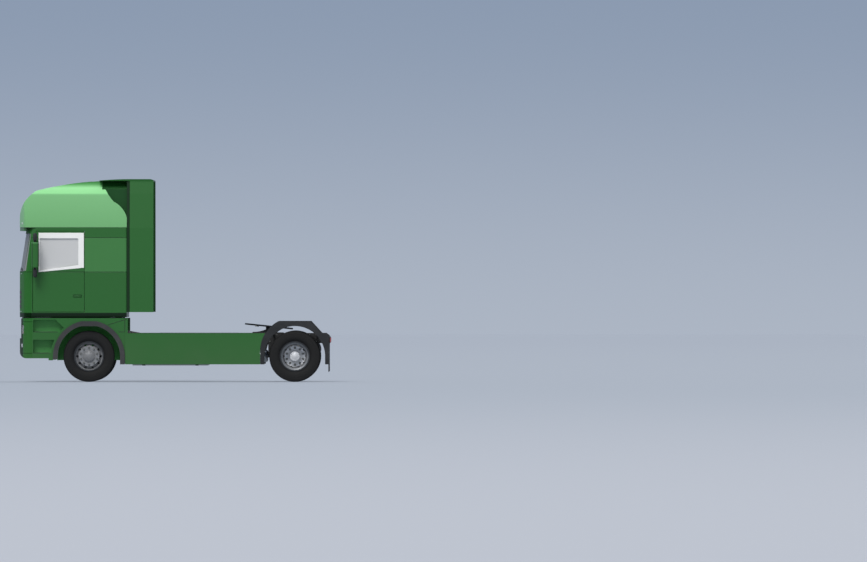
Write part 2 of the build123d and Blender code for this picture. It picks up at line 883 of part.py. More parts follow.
rear_mudguards.part.label = "rear_mudguards"
export_step(rear_mudguards.part, "parts/rear_mudguards.step")

# Side skirts between the wheel arches
with BuildPart() as side_skirts:
    with BuildSketch(side_plane(skirt_y)):
        outline(
            (behind(skirt_start), skirt_bottom),
            (behind(skirt_start), rail_top),
            (rear_axle_x - 480, rail_top),
            (rear_axle_x - 480, skirt_bottom),
        )
        add(guard_outline(skirt_gap), mode=Mode.SUBTRACT)
    extrude(amount=skirt_wall)
    bracket_reach = skirt_y - skirt_wall - tank_outer_y - seal_gap
    for share in (0.1, 0.9):
        with Locations(
            (behind(tank_start) + tank_length * share, skirt_y - skirt_wall - bracket_reach / 2, tank_middle_z)
        ):
            Box(50, bracket_reach, 90)
    mirror(about=Plane.XZ)
side_skirts.part.label = "side_skirts"
export_step(side_skirts.part, "parts/side_skirts.step")

# Fuel tanks beside the rails, behind the skirts
with BuildPart() as fuel_tanks:
    with BuildSketch(cross_plane(behind(tank_start))):
        with Locations((tank_middle_y, tank_middle_z)):
            RectangleRounded(tank_width, tank_height, tank_corner)
    extrude(amount=tank_length)
    for share in (0.25, 0.75):
        strap_x = behind(tank_start) + tank_length * share
        with Locations((strap_x, (rail_outer_half + tank_inner_y) / 2 + 1, rail_bottom + 100)):
            Box(60, tank_rail_gap - seal_gap + 1, 160)
    mirror(about=Plane.XZ)
fuel_tanks.part.label = "fuel_tanks"
export_step(fuel_tanks.part, "parts/fuel_tanks.step")

# Air tanks lengthwise under the rails, ahead of the rear wheels
air_tank_end = rear_axle_x - 545
air_tank_guard_gap = 3
air_tank_y = guard_inner_y - air_tank_radius - air_tank_guard_gap
saddle_width = 40 + abs(air_tank_y - rail_outer_half - 15)
saddle_y = (rail_outer_half + air_tank_y) / 2 - 27.5
air_tank_z = tyre_radius + 5
with BuildPart() as air_tanks:
    with BuildSketch(cross_plane(air_tank_end - air_tank_length)):
        with Locations((air_tank_y, air_tank_z)):
            Circle(air_tank_radius)
    extrude(amount=air_tank_length)
    fillet(edges().filter_by(GeomType.CIRCLE), radius=45)
    for share in (0.2, 0.8):
        saddle_x = air_tank_end - air_tank_length * share
        with Locations((saddle_x, saddle_y, (air_tank_z + rail_bottom) / 2)):
            Box(50, saddle_width, rail_bottom - air_tank_z - 2 * seal_gap)
    mirror(about=Plane.XZ)
air_tanks.part.label = "air_tanks"
export_step(air_tanks.part, "parts/air_tanks.step")

# Catwalk: deck plate on the rails behind the cab
catwalk_wall = 6
catwalk_start_x = cab_rear_x + 631
catwalk_end_x = fifth_x - 595
with BuildPart() as catwalk:
    with Locations(((catwalk_start_x + catwalk_end_x) / 2, 0, rail_top + seal_gap + catwalk_wall / 2)):
        Box(catwalk_end_x - catwalk_start_x, 2 * rail_outer_half, catwalk_wall)
catwalk.part.label = "catwalk"
export_step(catwalk.part, "parts/catwalk.step")

# Rear lamps on the tail end of the mudguards
lamp_bar_inner = 640
lamp_bar_outer = 1180
lamp_bar_middle_z = 830
lamp_bar_height = 130
with BuildPart() as rear_lamps:
    lamp_start = rear_axle_x + guard_rear_reach + seal_gap
    with Locations(((lamp_start + tail_x) / 2, (lamp_bar_inner + lamp_bar_outer) / 2, lamp_bar_middle_z)):
        Box(tail_x - lamp_start, lamp_bar_outer - lamp_bar_inner, lamp_bar_height)
        fillet(edges().filter_by(Axis.X), radius=20)
    mirror(about=Plane.XZ)
rear_lamps.part.label = "rear_lamps"
export_step(rear_lamps.part, "parts/rear_lamps.step")

# Cab mounts: front pivot brackets and rear rests on the rails
with BuildPart() as cab_mounts:
    with BuildSketch(side_plane(bracket_y + bracket_wall)):
        with BuildLine():
            nose = ThreePointArc(
                (tilt_x, cab_tilt_height + 55), (tilt_x - 55, cab_tilt_height), (tilt_x, cab_tilt_height - 55)
            )
            Polyline(
                nose @ 1,
                (rail_front_x + 140, rail_bottom + 10),
                (rail_front_x + 330, rail_bottom + 10),
                (rail_front_x + 330, rail_top - 20),
                nose @ 0,
            )
        make_face()
    extrude(amount=bracket_wall)
    with Locations((tilt_x, bracket_y + 11 - 35, cab_tilt_height)):
        Cylinder(radius=pivot_pin_radius, height=70, rotation=(90, 0, 0))
    bumper_arm_x = front_x + bumper_back + seal_gap
    with Locations(((bumper_arm_x + rail_front_x + 60) / 2, bracket_y + bracket_wall / 2, rail_bottom + 5)):
        Box(rail_front_x + 60 - bumper_arm_x, bracket_wall, 150)
    with Locations((cab_rear_x - cab_wall - 130, rail_outer_half - 35, (rail_top + floor_bottom) / 2)):
        Box(120, 70, floor_bottom - rail_top - 2 * seal_gap)
    mirror(about=Plane.XZ)
cab_mounts.part.label = "cab_mounts"
export_step(cab_mounts.part, "parts/cab_mounts.step")

# Cab floor with the engine tunnel and the two pivot arms
floor_gap = cab_wall + seal_gap
with BuildPart() as cab_floor:
    add(cab_form(floor_gap))
    with BuildSketch(cross_plane(front_x)):
        outline(
            (-cab_half, floor_bottom),
            (-tunnel_half + 30, floor_bottom),
            (-tunnel_half + 80, tunnel_top - floor_wall),
            (tunnel_half - 80, tunnel_top - floor_wall),
            (tunnel_half - 30, floor_bottom),
            (cab_half, floor_bottom),
            (cab_half, floor_top),
            (tunnel_half + 20, floor_top),
            (tunnel_half - 30, tunnel_top),
            (-tunnel_half + 30, tunnel_top),
            (-tunnel_half - 20, floor_top),
            (-cab_half, floor_top),
        )
    extrude(amount=cab_length, mode=Mode.INTERSECT)
    for side in (-1, 1):
        with Locations((behind((door_front + door_rear) / 2), side * (cab_half - cab_wall), floor_top)):
            Box(door_rear - door_front + 4 * panel_gap, 2 * sill_gap, cab_length, mode=Mode.SUBTRACT)
        with BuildSketch(side_plane(side * pivot_arm_y + pivot_arm_wall / 2)):
            with BuildLine():
                eye = ThreePointArc(
                    (tilt_x - 36, cab_tilt_height), (tilt_x, cab_tilt_height - 36), (tilt_x + 36, cab_tilt_height)
                )
                Polyline(eye @ 1, (tilt_x + 190, floor_bottom + 20), (tilt_x - 20, floor_bottom + 20), eye @ 0)
            make_face()
            with Locations((tilt_x, cab_tilt_height)):
                Circle(pivot_pin_radius + running_gap, mode=Mode.SUBTRACT)
        extrude(amount=pivot_arm_wall)
cab_floor.part.label = "cab_floor"
export_step(cab_floor.part, "parts/cab_floor.step")

# Cab front wall with the windscreen pillars, recessed behind the service panel
pillar_x = behind(cab_corner + cab_bow - 14)
front_cut = 800
recess_depth = front_panel_wall + 12
with BuildPart() as panel_rests:
    for low in (front_panel_bottom + 60, front_panel_top - 100):
        with BuildSketch(Plane.XY.offset(low)):
            add(front_band(front_panel_wall + seal_gap, recess_depth - front_panel_wall + 2, front_panel_half))
            with GridLocations(1, front_panel_half, 1, 2):
                with Locations((behind(0), 0)):
                    Rectangle(400, 40, mode=Mode.INTERSECT)
        extrude(amount=40)

with BuildPart() as cab_front:
    add(shell)
    with Locations((pillar_x - front_cut / 2, 0, belt_height)):
        Box(front_cut, 2 * cab_width, 2 * belt_height, mode=Mode.INTERSECT)
    with BuildSketch(cross_plane(front_x - 20)):
        windscreen_outline()
    extrude(amount=cab_corner + cab_bow + 20, mode=Mode.SUBTRACT)
    with BuildSketch(Plane.XY.offset(front_panel_bottom - panel_gap)):
        add(front_band(-1, recess_depth + 1, front_panel_half + panel_gap))
    extrude(amount=front_panel_top - front_panel_bottom + 2 * panel_gap, mode=Mode.SUBTRACT)
    add(panel_rests.part)
    for side in (-1, 1):
        with Locations((behind(panel_hinge_behind), side * panel_pin_y, panel_hinge_height)):
            Cylinder(
                radius=panel_pin_radius + 1,
                height=panel_pin_length + 2 * panel_gap,
                rotation=(90, 0, 0),
                mode=Mode.SUBTRACT,
            )
cab_front.part.label = "cab_front"
export_step(cab_front.part, "parts/cab_front.step")

# Service panel in the nose, hinged along its top edge
with BuildPart() as front_panel:
    with BuildSketch(Plane.XY.offset(front_panel_bottom)):
        add(front_band(0, front_panel_wall, front_panel_half))
    extrude(amount=front_panel_top - front_panel_bottom)
    fin_height = panel_hinge_height - front_panel_top + 2
    for side in (-1, 1):
        with Locations((behind(panel_hinge_behind), side * panel_pin_y, panel_hinge_height)):
            Cylinder(radius=panel_pin_radius, height=panel_pin_length, rotation=(90, 0, 0))
        with Locations(
            (behind(panel_hinge_behind), side * panel_pin_y, panel_hinge_height - fin_height / 2)
        ):
            Box(panel_pin_radius, panel_pin_length, fin_height)
front_panel.part.label = "front_panel"
export_step(front_panel.part, "parts/front_panel.step")

# Windscreen, bowed across the nose
with BuildPart() as windscreen:
    add(cab_form(10))
    add(cab_form(10 + glass_thickness), mode=Mode.SUBTRACT)
    with BuildSketch(cross_plane(front_x - 20)):
        windscreen_outline(seal_gap)
    extrude(amount=cab_corner + cab_bow, mode=Mode.INTERSECT)
windscreen.part.label = "windscreen"
export_step(windscreen.part, "parts/windscreen.step")

# Cab side walls with the door openings
with BuildPart() as cab_sides:
    add(shell)
    side_run = cab_rear_x - cab_wall - seal_gap - pillar_x - seal_gap
    with Locations((pillar_x + seal_gap + side_run / 2, 0, belt_height)):
        Box(side_run, 2 * cab_width, 2 * belt_height, mode=Mode.INTERSECT)
    with BuildSketch(side_plane(2 * cab_half)):
        door_outline(panel_gap)
    extrude(amount=4 * cab_half, mode=Mode.SUBTRACT)
    pad_low = door_bottom - panel_gap - 2
    pad_high = door_bottom - seal_gap
    for side in (-1, 1):
        for place in (door_front + 40, door_rear - 60):
            with Locations((behind(place), side * (cab_half - 35), (pad_low + pad_high) / 2)):
                Box(50, 40, pad_high - pad_low)
cab_sides.part.label = "cab_sides"
export_step(cab_sides.part, "parts/cab_sides.step")

# Cab rear wall
with BuildPart() as cab_rear:
    add(shell)
    with Locations((cab_rear_x - cab_wall / 2, 0, belt_height)):
        Box(cab_wall, 2 * cab_width, 2 * belt_height, mode=Mode.INTERSECT)
cab_rear.part.label = "cab_rear"
export_step(cab_rear.part, "parts/cab_rear.step")

# Doors: whole thickness of the wall, window cut, handle recess
for side, name in sides:
    with BuildPart() as door:
        add(shell)
        with BuildSketch(side_plane(max(side, 0) * 2 * cab_half)):
            door_outline()
        extrude(amount=2 * cab_half, mode=Mode.INTERSECT)
        with BuildSketch(side_plane(2 * cab_half)):
            window_outline()
        extrude(amount=4 * cab_half, mode=Mode.SUBTRACT)
        with Locations((behind(door_rear - handle_behind), side * cab_half, handle_height)):
            Box(handle_length, 2 * handle_depth, handle_opening, mode=Mode.SUBTRACT)
        hinge_y = side * (cab_half - door_roll_radius)
        with BuildSketch(Plane.XY.offset(door_bottom - 1)):
            with Locations((door_hinge_x - door_roll_radius, hinge_y + side * door_roll_radius)):
                Rectangle(2 * door_roll_radius, 2 * door_roll_radius)
            with Locations((door_hinge_x, hinge_y)):
                Circle(door_roll_radius, mode=Mode.SUBTRACT)
        extrude(amount=belt_height - door_bottom + 1, mode=Mode.SUBTRACT)
    door.part.label = f"door_{name}"
    export_step(door.part, f"parts/door_{name}.step")

    with BuildPart() as door_glass:
        add(cab_form(20))
        add(cab_form(20 + glass_thickness), mode=Mode.SUBTRACT)
        with BuildSketch(side_plane(max(side, 0) * 2 * cab_half)):
            window_outline(-seal_gap)
        extrude(amount=2 * cab_half, mode=Mode.INTERSECT)
    door_glass.part.label = f"door_glass_{name}"
    export_step(door_glass.part, f"parts/door_glass_{name}.step")

    # Mirror housing on two curved arms from the door
    housing_y = cab_half + mirror_reach
    housing_middle = behind((mirror_front + mirror_rear) / 2)
    arm_x = housing_middle - 5
    with BuildPart() as mirror_unit:
        with BuildSketch(Plane.XY.offset(mirror_bottom)):
            with Locations((housing_middle, side * (housing_y + mirror_width / 2))):
                RectangleRounded(mirror_rear - mirror_front, mirror_width, 45)
        extrude(amount=mirror_top - mirror_bottom)
        for root_z, end_z in ((2860, mirror_top - 60), (2130, mirror_bottom + 60)):
            root_y = cab_half - 20 if root_z > belt_height else cab_half + seal_gap
            with BuildLine():
                bend = housing_y + mirror_width / 2
                FilletPolyline(
                    (arm_x, side * root_y, root_z), (arm_x, side * bend, root_z), (arm_x, side * bend, end_z), radius=60
                )
            with BuildSketch(Plane(origin=(arm_x, side * root_y, root_z), z_dir=(0, side, 0))):
                Circle(22)
            sweep()
    mirror_unit.part.label = f"mirror_{name}"
    export_step(mirror_unit.part, f"parts/mirror_{name}.step")

# Roof shell: wide crown with a round rear edge, narrow neck behind it


def roof_shoulder(shift=0):
    """Side view of what is cut off the roof's flanks behind the round rear edge."""
    with BuildSketch() as view:
        with BuildLine():
            low = ThreePointArc(
                (cab_rear_x - shift, roof_front_top - shift),
                (cab_rear_x - shoulder_middle[0] - shift, shoulder_middle[1] - shift),
                (cab_rear_x - shoulder_end[0] - shift, shoulder_end[1] - shift),
            )
            high = ThreePointArc(
                low @ 1,
                (cab_rear_x - neck_middle[0] - shift, neck_middle[1] - shift),
                (cab_rear_x - neck_top_ahead - shift, deflector_peak + 10),
            )
            Polyline(high @ 1, (cab_rear_x + 40, deflector_peak + 10), (cab_rear_x + 40, roof_front_top - shift), low @ 0)
        make_face()
    return view.sketch


def shouldered_roof(inset, nose_inset, half):
    """Solid of the roof with its flanks cut back to a half width behind the rear edge."""
    with BuildPart() as form:
        add(roof_form(inset, nose_inset))
        for plane_y in (cab_half, -half):
            with BuildSketch(side_plane(plane_y)):
                add(roof_shoulder(inset))
            extrude(amount=cab_half - half, mode=Mode.SUBTRACT)
    return form.part


with BuildPart() as roof_cavity:
    add(shouldered_roof(roof_wall, 0, recess_half - roof_wall))
    with Locations((behind(windscreen_rake + cab_wall - 1000), 0, cab_joint_height)):
        Box(2000, 2 * cab_width, 2 * roof_wall, mode=Mode.SUBTRACT)

with BuildPart() as cab_roof:
    add(shouldered_roof(0, 0, recess_half))
    add(roof_cavity.part, mode=Mode.SUBTRACT)
    with BuildSketch(Plane.XY.offset(visor_bottom)):
        add(cab_outline(0, cab_top_half, visor_step))
        add(cab_outline(0, cab_top_half, visor_depth / 2), mode=Mode.SUBTRACT)
        with Locations((behind(visor_run), 0)):
            Rectangle(
                2 * cab_length, 2 * cab_width, align=(Align.MIN, Align.CENTER), mode=Mode.SUBTRACT
            )
    extrude(amount=cab_joint_height - visor_bottom + 20)
cab_roof.part.label = "cab_roof"
export_step(cab_roof.part, "parts/cab_roof.step")

# Roof deflector: hood from the crown over the neck to the side deflectors
deflector_half = crease_half - deflector_top_lean
hood_x = cab_rear_x - hood_ahead
with BuildPart() as roof_deflector:
    with BuildSketch(side_plane(deflector_half)):
        with BuildLine():
            rise = ThreePointArc(
                (hood_x, deflector_top + hood_start_rise),
                (hood_x + hood_bend_run, deflector_peak - hood_bend_drop),
                (behind(deflector_start), deflector_peak),
            )
            Polyline(
                rise @ 1,
                (behind(deflector_rear) - 60, deflector_peak),
                (behind(deflector_rear), deflector_peak - 18),
                (behind(deflector_rear), deflector_top + seal_gap),
                (behind(cab_length) + 30, deflector_top + seal_gap),
                (behind(cab_length) + 10, deflector_peak - deflector_wall + seal_gap),
                (hood_x, deflector_peak - deflector_wall + seal_gap),
                rise @ 0,
            )
        make_face()
    extrude(amount=2 * deflector_half)
roof_deflector.part.label = "roof_deflector"
export_step(roof_deflector.part, "parts/roof_deflector.step")

# Side deflectors: upright panels behind the cab that close the gap at its flanks
strip_outer = inner_strip_inset
strip_inner = inner_strip_inset + inner_strip_wall
with BuildPart() as side_deflectors:
    with BuildSketch(cross_plane(behind(deflector_start))):
        outline(
            (cab_half, deflector_bottom),
            (cab_half, belt_height),
            (cab_top_half, cab_joint_height),
            (crease_half + deflector_lean, crease_height),
            (deflector_half, deflector_top),
            (deflector_half - deflector_wall, deflector_top),
            (crease_half + deflector_lean - deflector_wall, crease_height),
            (cab_top_half - deflector_wall, cab_joint_height),
            (cab_half - deflector_wall, belt_height),
            (cab_half - deflector_wall, deflector_bottom),
        )
    extrude(amount=deflector_rear - deflector_start)
    with BuildSketch(cross_plane(cab_rear_x + seal_gap)):
        outline(
            (cab_half - strip_outer, deflector_bottom),
            (cab_half - strip_outer, belt_height),
            (cab_top_half - strip_outer, cab_joint_height),
            (crease_half + deflector_lean - strip_outer, crease_height),
            (deflector_half + 3 - strip_outer, deflector_top),
            (deflector_half + 5 - strip_inner, deflector_top),
            (crease_half + 20 - strip_inner, crease_height),
            (cab_top_half - strip_inner, cab_joint_height),
            (cab_half - strip_inner, belt_height),
            (cab_half - strip_inner, deflector_bottom),
        )
    extrude(amount=deflector_start - cab_length - seal_gap)
    mirror(about=Plane.XZ)
side_deflectors.part.label = "side_deflectors"
export_step(side_deflectors.part, "parts/side_deflectors.step")

# Lower grille under the cab's nose
with BuildPart() as lower_grille:
    grille_height = cab_bottom - seal_gap - grille_bottom
    with BuildSketch(Plane.XY.offset(grille_bottom)):
        add(front_band(grille_front, grille_wall, grille_half))
    extrude(amount=grille_height)
    for row in range(4):
        low = grille_bottom + 30 + row * slat_pitch
        for side in (-1, 1):
            with Locations((behind(grille_front + 60), side * grille_half / 2, low + slat_pitch * 0.35)):
                Box(300, grille_half - 80, slat_pitch * 0.6, mode=Mode.SUBTRACT)
lower_grille.part.label = "lower_grille"
export_step(lower_grille.part, "parts/lower_grille.step")

# Dashboard across the cab under the windscreen, with the steering column's cowl
dash_top = windscreen_bottom - 5
dash_bottom = 1780
dash_run = 540
dash_bend_z = 2000
dash_brow = (470, 2140)
dash_top_run = 340
wheel_centre = (behind(620), -620, 2110)
column_tilt = 35
column_radius = 50
steering_plane = Plane(
    origin=wheel_centre,
    x_dir=(0, 1, 0),
    z_dir=(sin(radians(column_tilt)), 0, cos(radians(column_tilt))),
)
with BuildPart() as dashboard:
    add(cab_form(cab_wall + seal_gap))
    with BuildSketch(side_plane(cab_half)):
        with BuildLine():
            Polyline(
                (behind(dash_run - 20), dash_bottom),
                (front_x, dash_bottom),
                (front_x, dash_top),
                (behind(dash_top_run), dash_top),
            )
            ThreePointArc(
                (behind(dash_top_run), dash_top), (behind(dash_brow[0]), dash_brow[1]), (behind(dash_run), dash_bend_z)
            )
            Line((behind(dash_run), dash_bend_z), (behind(dash_run - 20), dash_bottom))
        make_face()
    extrude(amount=cab_width, mode=Mode.INTERSECT)
    with BuildSketch(Plane.XY.offset(dash_bottom)):
        for side in (-1, 1):
            with Locations((behind(door_front - 20), side * (cab_half - cab_wall - 25))):
                Rectangle(400, 100, align=(Align.MIN, Align.MIN if side > 0 else Align.MAX))
    extrude(amount=dash_top - dash_bottom, mode=Mode.SUBTRACT)
    with BuildSketch(steering_plane.offset(-60 - seal_gap)):
        Circle(column_radius)
    extrude(amount=-180)
dashboard.part.label = "dashboard"
export_step(dashboard.part, "parts/dashboard.step")

# Seats: a base, a cushion and a back each
seat_y = 640
seat_behind = 1130
seat_width = 500
seat_base = (380, 300, 380)
cushion_height = 120
cushion_rise = 440
back_width = 480
back_low = 480
back_high = 1210
with BuildPart() as seats:
    for side in (-1, 1):
        with Locations((behind(seat_behind), side * seat_y, floor_top + seal_gap + seat_base[2] / 2)):
            Box(*seat_base)
        with Locations((behind(seat_behind), side * seat_y, floor_top + cushion_rise)):
            Box(seat_width, seat_width, cushion_height)
            fillet(edges().filter_by(Axis.Z).group_by(Axis.Z)[-1], radius=60)
        with BuildSketch(side_plane(side * seat_y + back_width / 2)):
            outline(
                (behind(seat_behind + 150), floor_top + back_low),
                (behind(seat_behind + 240), floor_top + back_low),
                (behind(seat_behind + 370), floor_top + back_high),
                (behind(seat_behind + 280), floor_top + back_high),
            )
        extrude(amount=back_width)
seats.part.label = "seats"
export_step(seats.part, "parts/seats.step")

# Bunk behind the seats
bunk_back = cab_rear_x - cab_wall - 10
bunk_depth = 520
bunk_height = 320
bunk_side_gap = 30
with BuildPart() as bunk:
    with Locations((bunk_back - bunk_depth / 2, 0, tunnel_top + seal_gap + bunk_height / 2)):
        Box(bunk_depth, 2 * (cab_half - cab_wall - bunk_side_gap), bunk_height)
        fillet(edges().filter_by(Axis.Y).group_by(Axis.Z)[-1], radius=50)
bunk.part.label = "bunk"
export_step(bunk.part, "parts/bunk.step")

# Coupling panel on the cab's back, with sockets for air and current
coupling_y = -300
coupling_z = 1600
coupling_wall = 16
socket_pitch = 100
socket_radius = 28
socket_bore = 18
socket_length = 44
with BuildPart() as coupling_panel:
    with Locations((cab_rear_x + seal_gap + coupling_wall / 2, coupling_y, coupling_z - 40)):
        Box(coupling_wall, 4 * socket_pitch + 60, 220)
    with BuildSketch(cross_plane(cab_rear_x + coupling_wall)):
        with Locations((coupling_y, coupling_z)):
            with GridLocations(socket_pitch, socket_pitch, 4, 1):
                Circle(socket_radius)
    extrude(amount=socket_length)
    with BuildSketch(cross_plane(cab_rear_x + coupling_wall + 24)):
        with Locations((coupling_y, coupling_z)):
            with GridLocations(socket_pitch, socket_pitch, 4, 1):
                Circle(socket_bore)
    extrude(amount=30, mode=Mode.SUBTRACT)
coupling_panel.part.label = "coupling_panel"
export_step(coupling_panel.part, "parts/coupling_panel.step")

# Steering wheel with its column
wheel_ring_radius = 225
wheel_ring_section = 15
spoke_width = 34
spoke_thickness = 16
hub_cover_radius = 60
with BuildPart() as steering_wheel:
    with BuildSketch(Plane(origin=wheel_centre, x_dir=steering_plane.x_dir, z_dir=steering_plane.y_dir)):
        with Locations((wheel_ring_radius, 0)):
            Circle(wheel_ring_section)
    revolve(axis=Axis(wheel_centre, steering_plane.z_dir))
    with BuildSketch(steering_plane.offset(-60)):
        Circle(hub_cover_radius)
    extrude(amount=55)
    with BuildSketch(steering_plane.offset(-25)):
        with PolarLocations(0, 3, start_angle=90):
            Rectangle(wheel_ring_radius, spoke_width, align=(Align.MIN, Align.CENTER))
    extrude(amount=spoke_thickness)
steering_wheel.part.label = "steering_wheel"
export_step(steering_wheel.part, "parts/steering_wheel.step")

# Fifth wheel plate, throat open to the tail, tilted nose up on its stop
tilt = radians(fifth_tilt)
plate_plane = Plane(
    origin=(fifth_x, 0, fifth_plate_top),
    x_dir=(cos(tilt), 0, -sin(tilt)),
    z_dir=(sin(tilt), 0, cos(tilt)),
)
plate_front = -fifth_plate_front / cos(tilt)
plate_rear = fifth_plate_rear / cos(tilt)
lug_inner = fifth_bracket_y - fifth_bracket_wall / 2 - 6 - 40
with BuildPart() as fifth_wheel:
    with BuildSketch(plate_plane):
        with BuildLine():
            nose = ThreePointArc((-60, -fifth_plate_half), (plate_front, 0), (-60, fifth_plate_half))
            Polyline(
                nose @ 1,
                (150, fifth_plate_half),
                (plate_rear, 230),
                (plate_rear, throat_half + 60),
                (120, kingpin_seat_radius),
                (0, kingpin_seat_radius),
            )
            ThreePointArc(
                (0, kingpin_seat_radius), (-kingpin_seat_radius, 0), (0, -kingpin_seat_radius)
            )
            Polyline(
                (0, -kingpin_seat_radius),
                (120, -kingpin_seat_radius),
                (plate_rear, -throat_half - 60),
                (plate_rear, -230),
                (150, -fifth_plate_half),
                nose @ 0,
            )
        make_face()
    extrude(amount=-fifth_plate_thickness)
    for side in (-1, 1):
        with BuildSketch(side_plane(side * (lug_inner + 20) + 20)):
            with Locations((fifth_x, fifth_pivot_height)):
                Circle(fifth_lug_radius)
                Rectangle(2 * fifth_lug_radius, 52, align=(Align.CENTER, Align.MIN))
                Circle(fifth_pin_radius + running_gap, mode=Mode.SUBTRACT)
        extrude(amount=40)
fifth_wheel.part.label = "fifth_wheel"
export_step(fifth_wheel.part, "parts/fifth_wheel.step")

# Fifth wheel pedestal: base plate, two brackets and the pivot pins
with BuildPart() as fifth_wheel_mount:
    with Locations((fifth_x, 0, rail_top + seal_gap + 6)):
        Box(620, 2 * rail_outer_half, 12)
    base_top = rail_top + seal_gap + 12
    with BuildSketch(side_plane(fifth_bracket_y + fifth_bracket_wall / 2)):
        with BuildLine():
            top = ThreePointArc(
                (fifth_x - fifth_lug_radius, fifth_pivot_height),
                (fifth_x, fifth_pivot_height + fifth_lug_radius),
                (fifth_x + fifth_lug_radius, fifth_pivot_height),
            )
            front = ThreePointArc((fifth_x - 300, base_top + 10), (fifth_x - 150, base_top + 26), top @ 0)
            Polyline(top @ 1, (fifth_x + 90, base_top), (fifth_x - 300, base_top), front @ 0)
        make_face()
    extrude(amount=fifth_bracket_wall)
    with Locations((fifth_x, lug_inner + (fifth_bracket_y - lug_inner) / 2, fifth_pivot_height)):
        Cylinder(radius=fifth_pin_radius, height=fifth_bracket_y - lug_inner, rotation=(90, 0, 0))
    mirror(about=Plane.XZ)
fifth_wheel_mount.part.label = "fifth_wheel_mount"
export_step(fifth_wheel_mount.part, "parts/fifth_wheel_mount.step")

# Steering knuckles: ears and pin round the axle's eye, spindle, arm back to the tie rod
ear_height = 42
arm_back = 185
arm_z = tyre_radius - 120
tie_rod_z = arm_z - 62
ball_radius = 20
for side, name in sides:
    y = side * kingpin_y
    spindle_end = side * (front_tyre_y + 95)
    with BuildPart() as knuckle:
        low_ear = tyre_radius - eye_half - 1 - ear_height / 2
        high_ear = tyre_radius + eye_half + 1 + ear_height / 2
        with Locations((front_axle_x, y, low_ear), (front_axle_x, y, high_ear)):
            Cylinder(radius=eye_radius, height=ear_height)
        with Locations((front_axle_x, y, tyre_radius)):
            Cylinder(radius=kingpin_radius, height=high_ear - low_ear)
        web_y = y + side * (eye_radius + 25)
        with Locations((front_axle_x, web_y, tyre_radius)):
            Box(84, 44, 2 * (eye_half + ear_height))
        for ear in (low_ear, high_ear):
            with Locations((front_axle_x, y + side * 40, ear)):
                Box(84, 80, ear_height)
        with Locations((front_axle_x, (web_y + spindle_end) / 2, tyre_radius)):
            Cylinder(radius=spindle_radius, height=abs(spindle_end - web_y), rotation=(90, 0, 0))
        with Locations((front_axle_x + arm_back / 2, y, low_ear - 8)):
            Box(arm_back, 44, 26)
        with Locations((front_axle_x + arm_back, y, low_ear - 8)):
            Cylinder(radius=32, height=26)
        with Locations((front_axle_x + arm_back, y, low_ear - 40)):
            Cylinder(radius=ball_radius - 4, height=60)
    knuckle.part.label = f"knuckle_{name}"
    export_step(knuckle.part, f"parts/knuckle_{name}.step")

# Tie rod between the knuckles' arms
rod_z = low_ear - 52
with BuildPart() as tie_rod:
    with Locations((front_axle_x + arm_back, 0, rod_z)):
        Cylinder(radius=18, height=2 * kingpin_y - 60, rotation=(90, 0, 0))
    for side in (-1, 1):
        with Locations((front_axle_x + arm_back, side * kingpin_y, rod_z)):
            Cylinder(radius=34, height=40)
    for side in (-1, 1):
        with Locations((front_axle_x + arm_back, side * kingpin_y, rod_z)):
            Cylinder(radius=ball_radius - 4 + running_gap, height=60, mode=Mode.SUBTRACT)
tie_rod.part.label = "tie_rod"
export_step(tie_rod.part, "parts/tie_rod.step")


def tyre_face(middle):
    """Half section of a tyre in Y and Z, to be turned about the axle."""
    half = tyre_width / 2
    bead_half = rim_width / 2 - 17
    with BuildSketch() as section:
        with BuildLine():
            tread_half = half - tyre_shoulder * 0.55
            Line((middle - tread_half, tyre_radius), (middle + tread_half, tyre_radius))
            ThreePointArc(
                (middle + tread_half, tyre_radius),
                (middle + half - 8, tyre_radius - 26),
                (middle + half - 2, tyre_radius - 62),
            )
            ThreePointArc(
                (middle + half - 2, tyre_radius - 62),
                (middle + half, (tyre_radius + bead_radius) / 2),
                (middle + half - 22, bead_radius + 46),
            )
            Polyline(
                (middle + half - 22, bead_radius + 46),
                (middle + bead_half, bead_radius + 17),
                (middle + bead_half, bead_radius + running_gap),
                (middle + bead_half - 45, bead_radius + running_gap),
                (middle + half - 40, bead_radius + 70),
                (middle + half - 32, tyre_radius - 70),
                (middle + tread_half - 20, tyre_radius - 32),
                (middle - tread_half + 20, tyre_radius - 32),
                (middle - half + 32, tyre_radius - 70),
                (middle - half + 40, bead_radius + 70),
                (middle - bead_half + 45, bead_radius + running_gap),
                (middle - bead_half, bead_radius + running_gap),
                (middle - bead_half, bead_radius + 17),
                (middle - half + 22, bead_radius + 46),
            )
            ThreePointArc(
                (middle - half + 22, bead_radius + 46),
                (middle - half, (tyre_radius + bead_radius) / 2),
                (middle - half + 2, tyre_radius - 62),
            )
            ThreePointArc(
                (middle - half + 2, tyre_radius - 62),
                (middle - half + 8, tyre_radius - 26),
                (middle - tread_half, tyre_radius),
            )
        make_face()
    return section.sketch


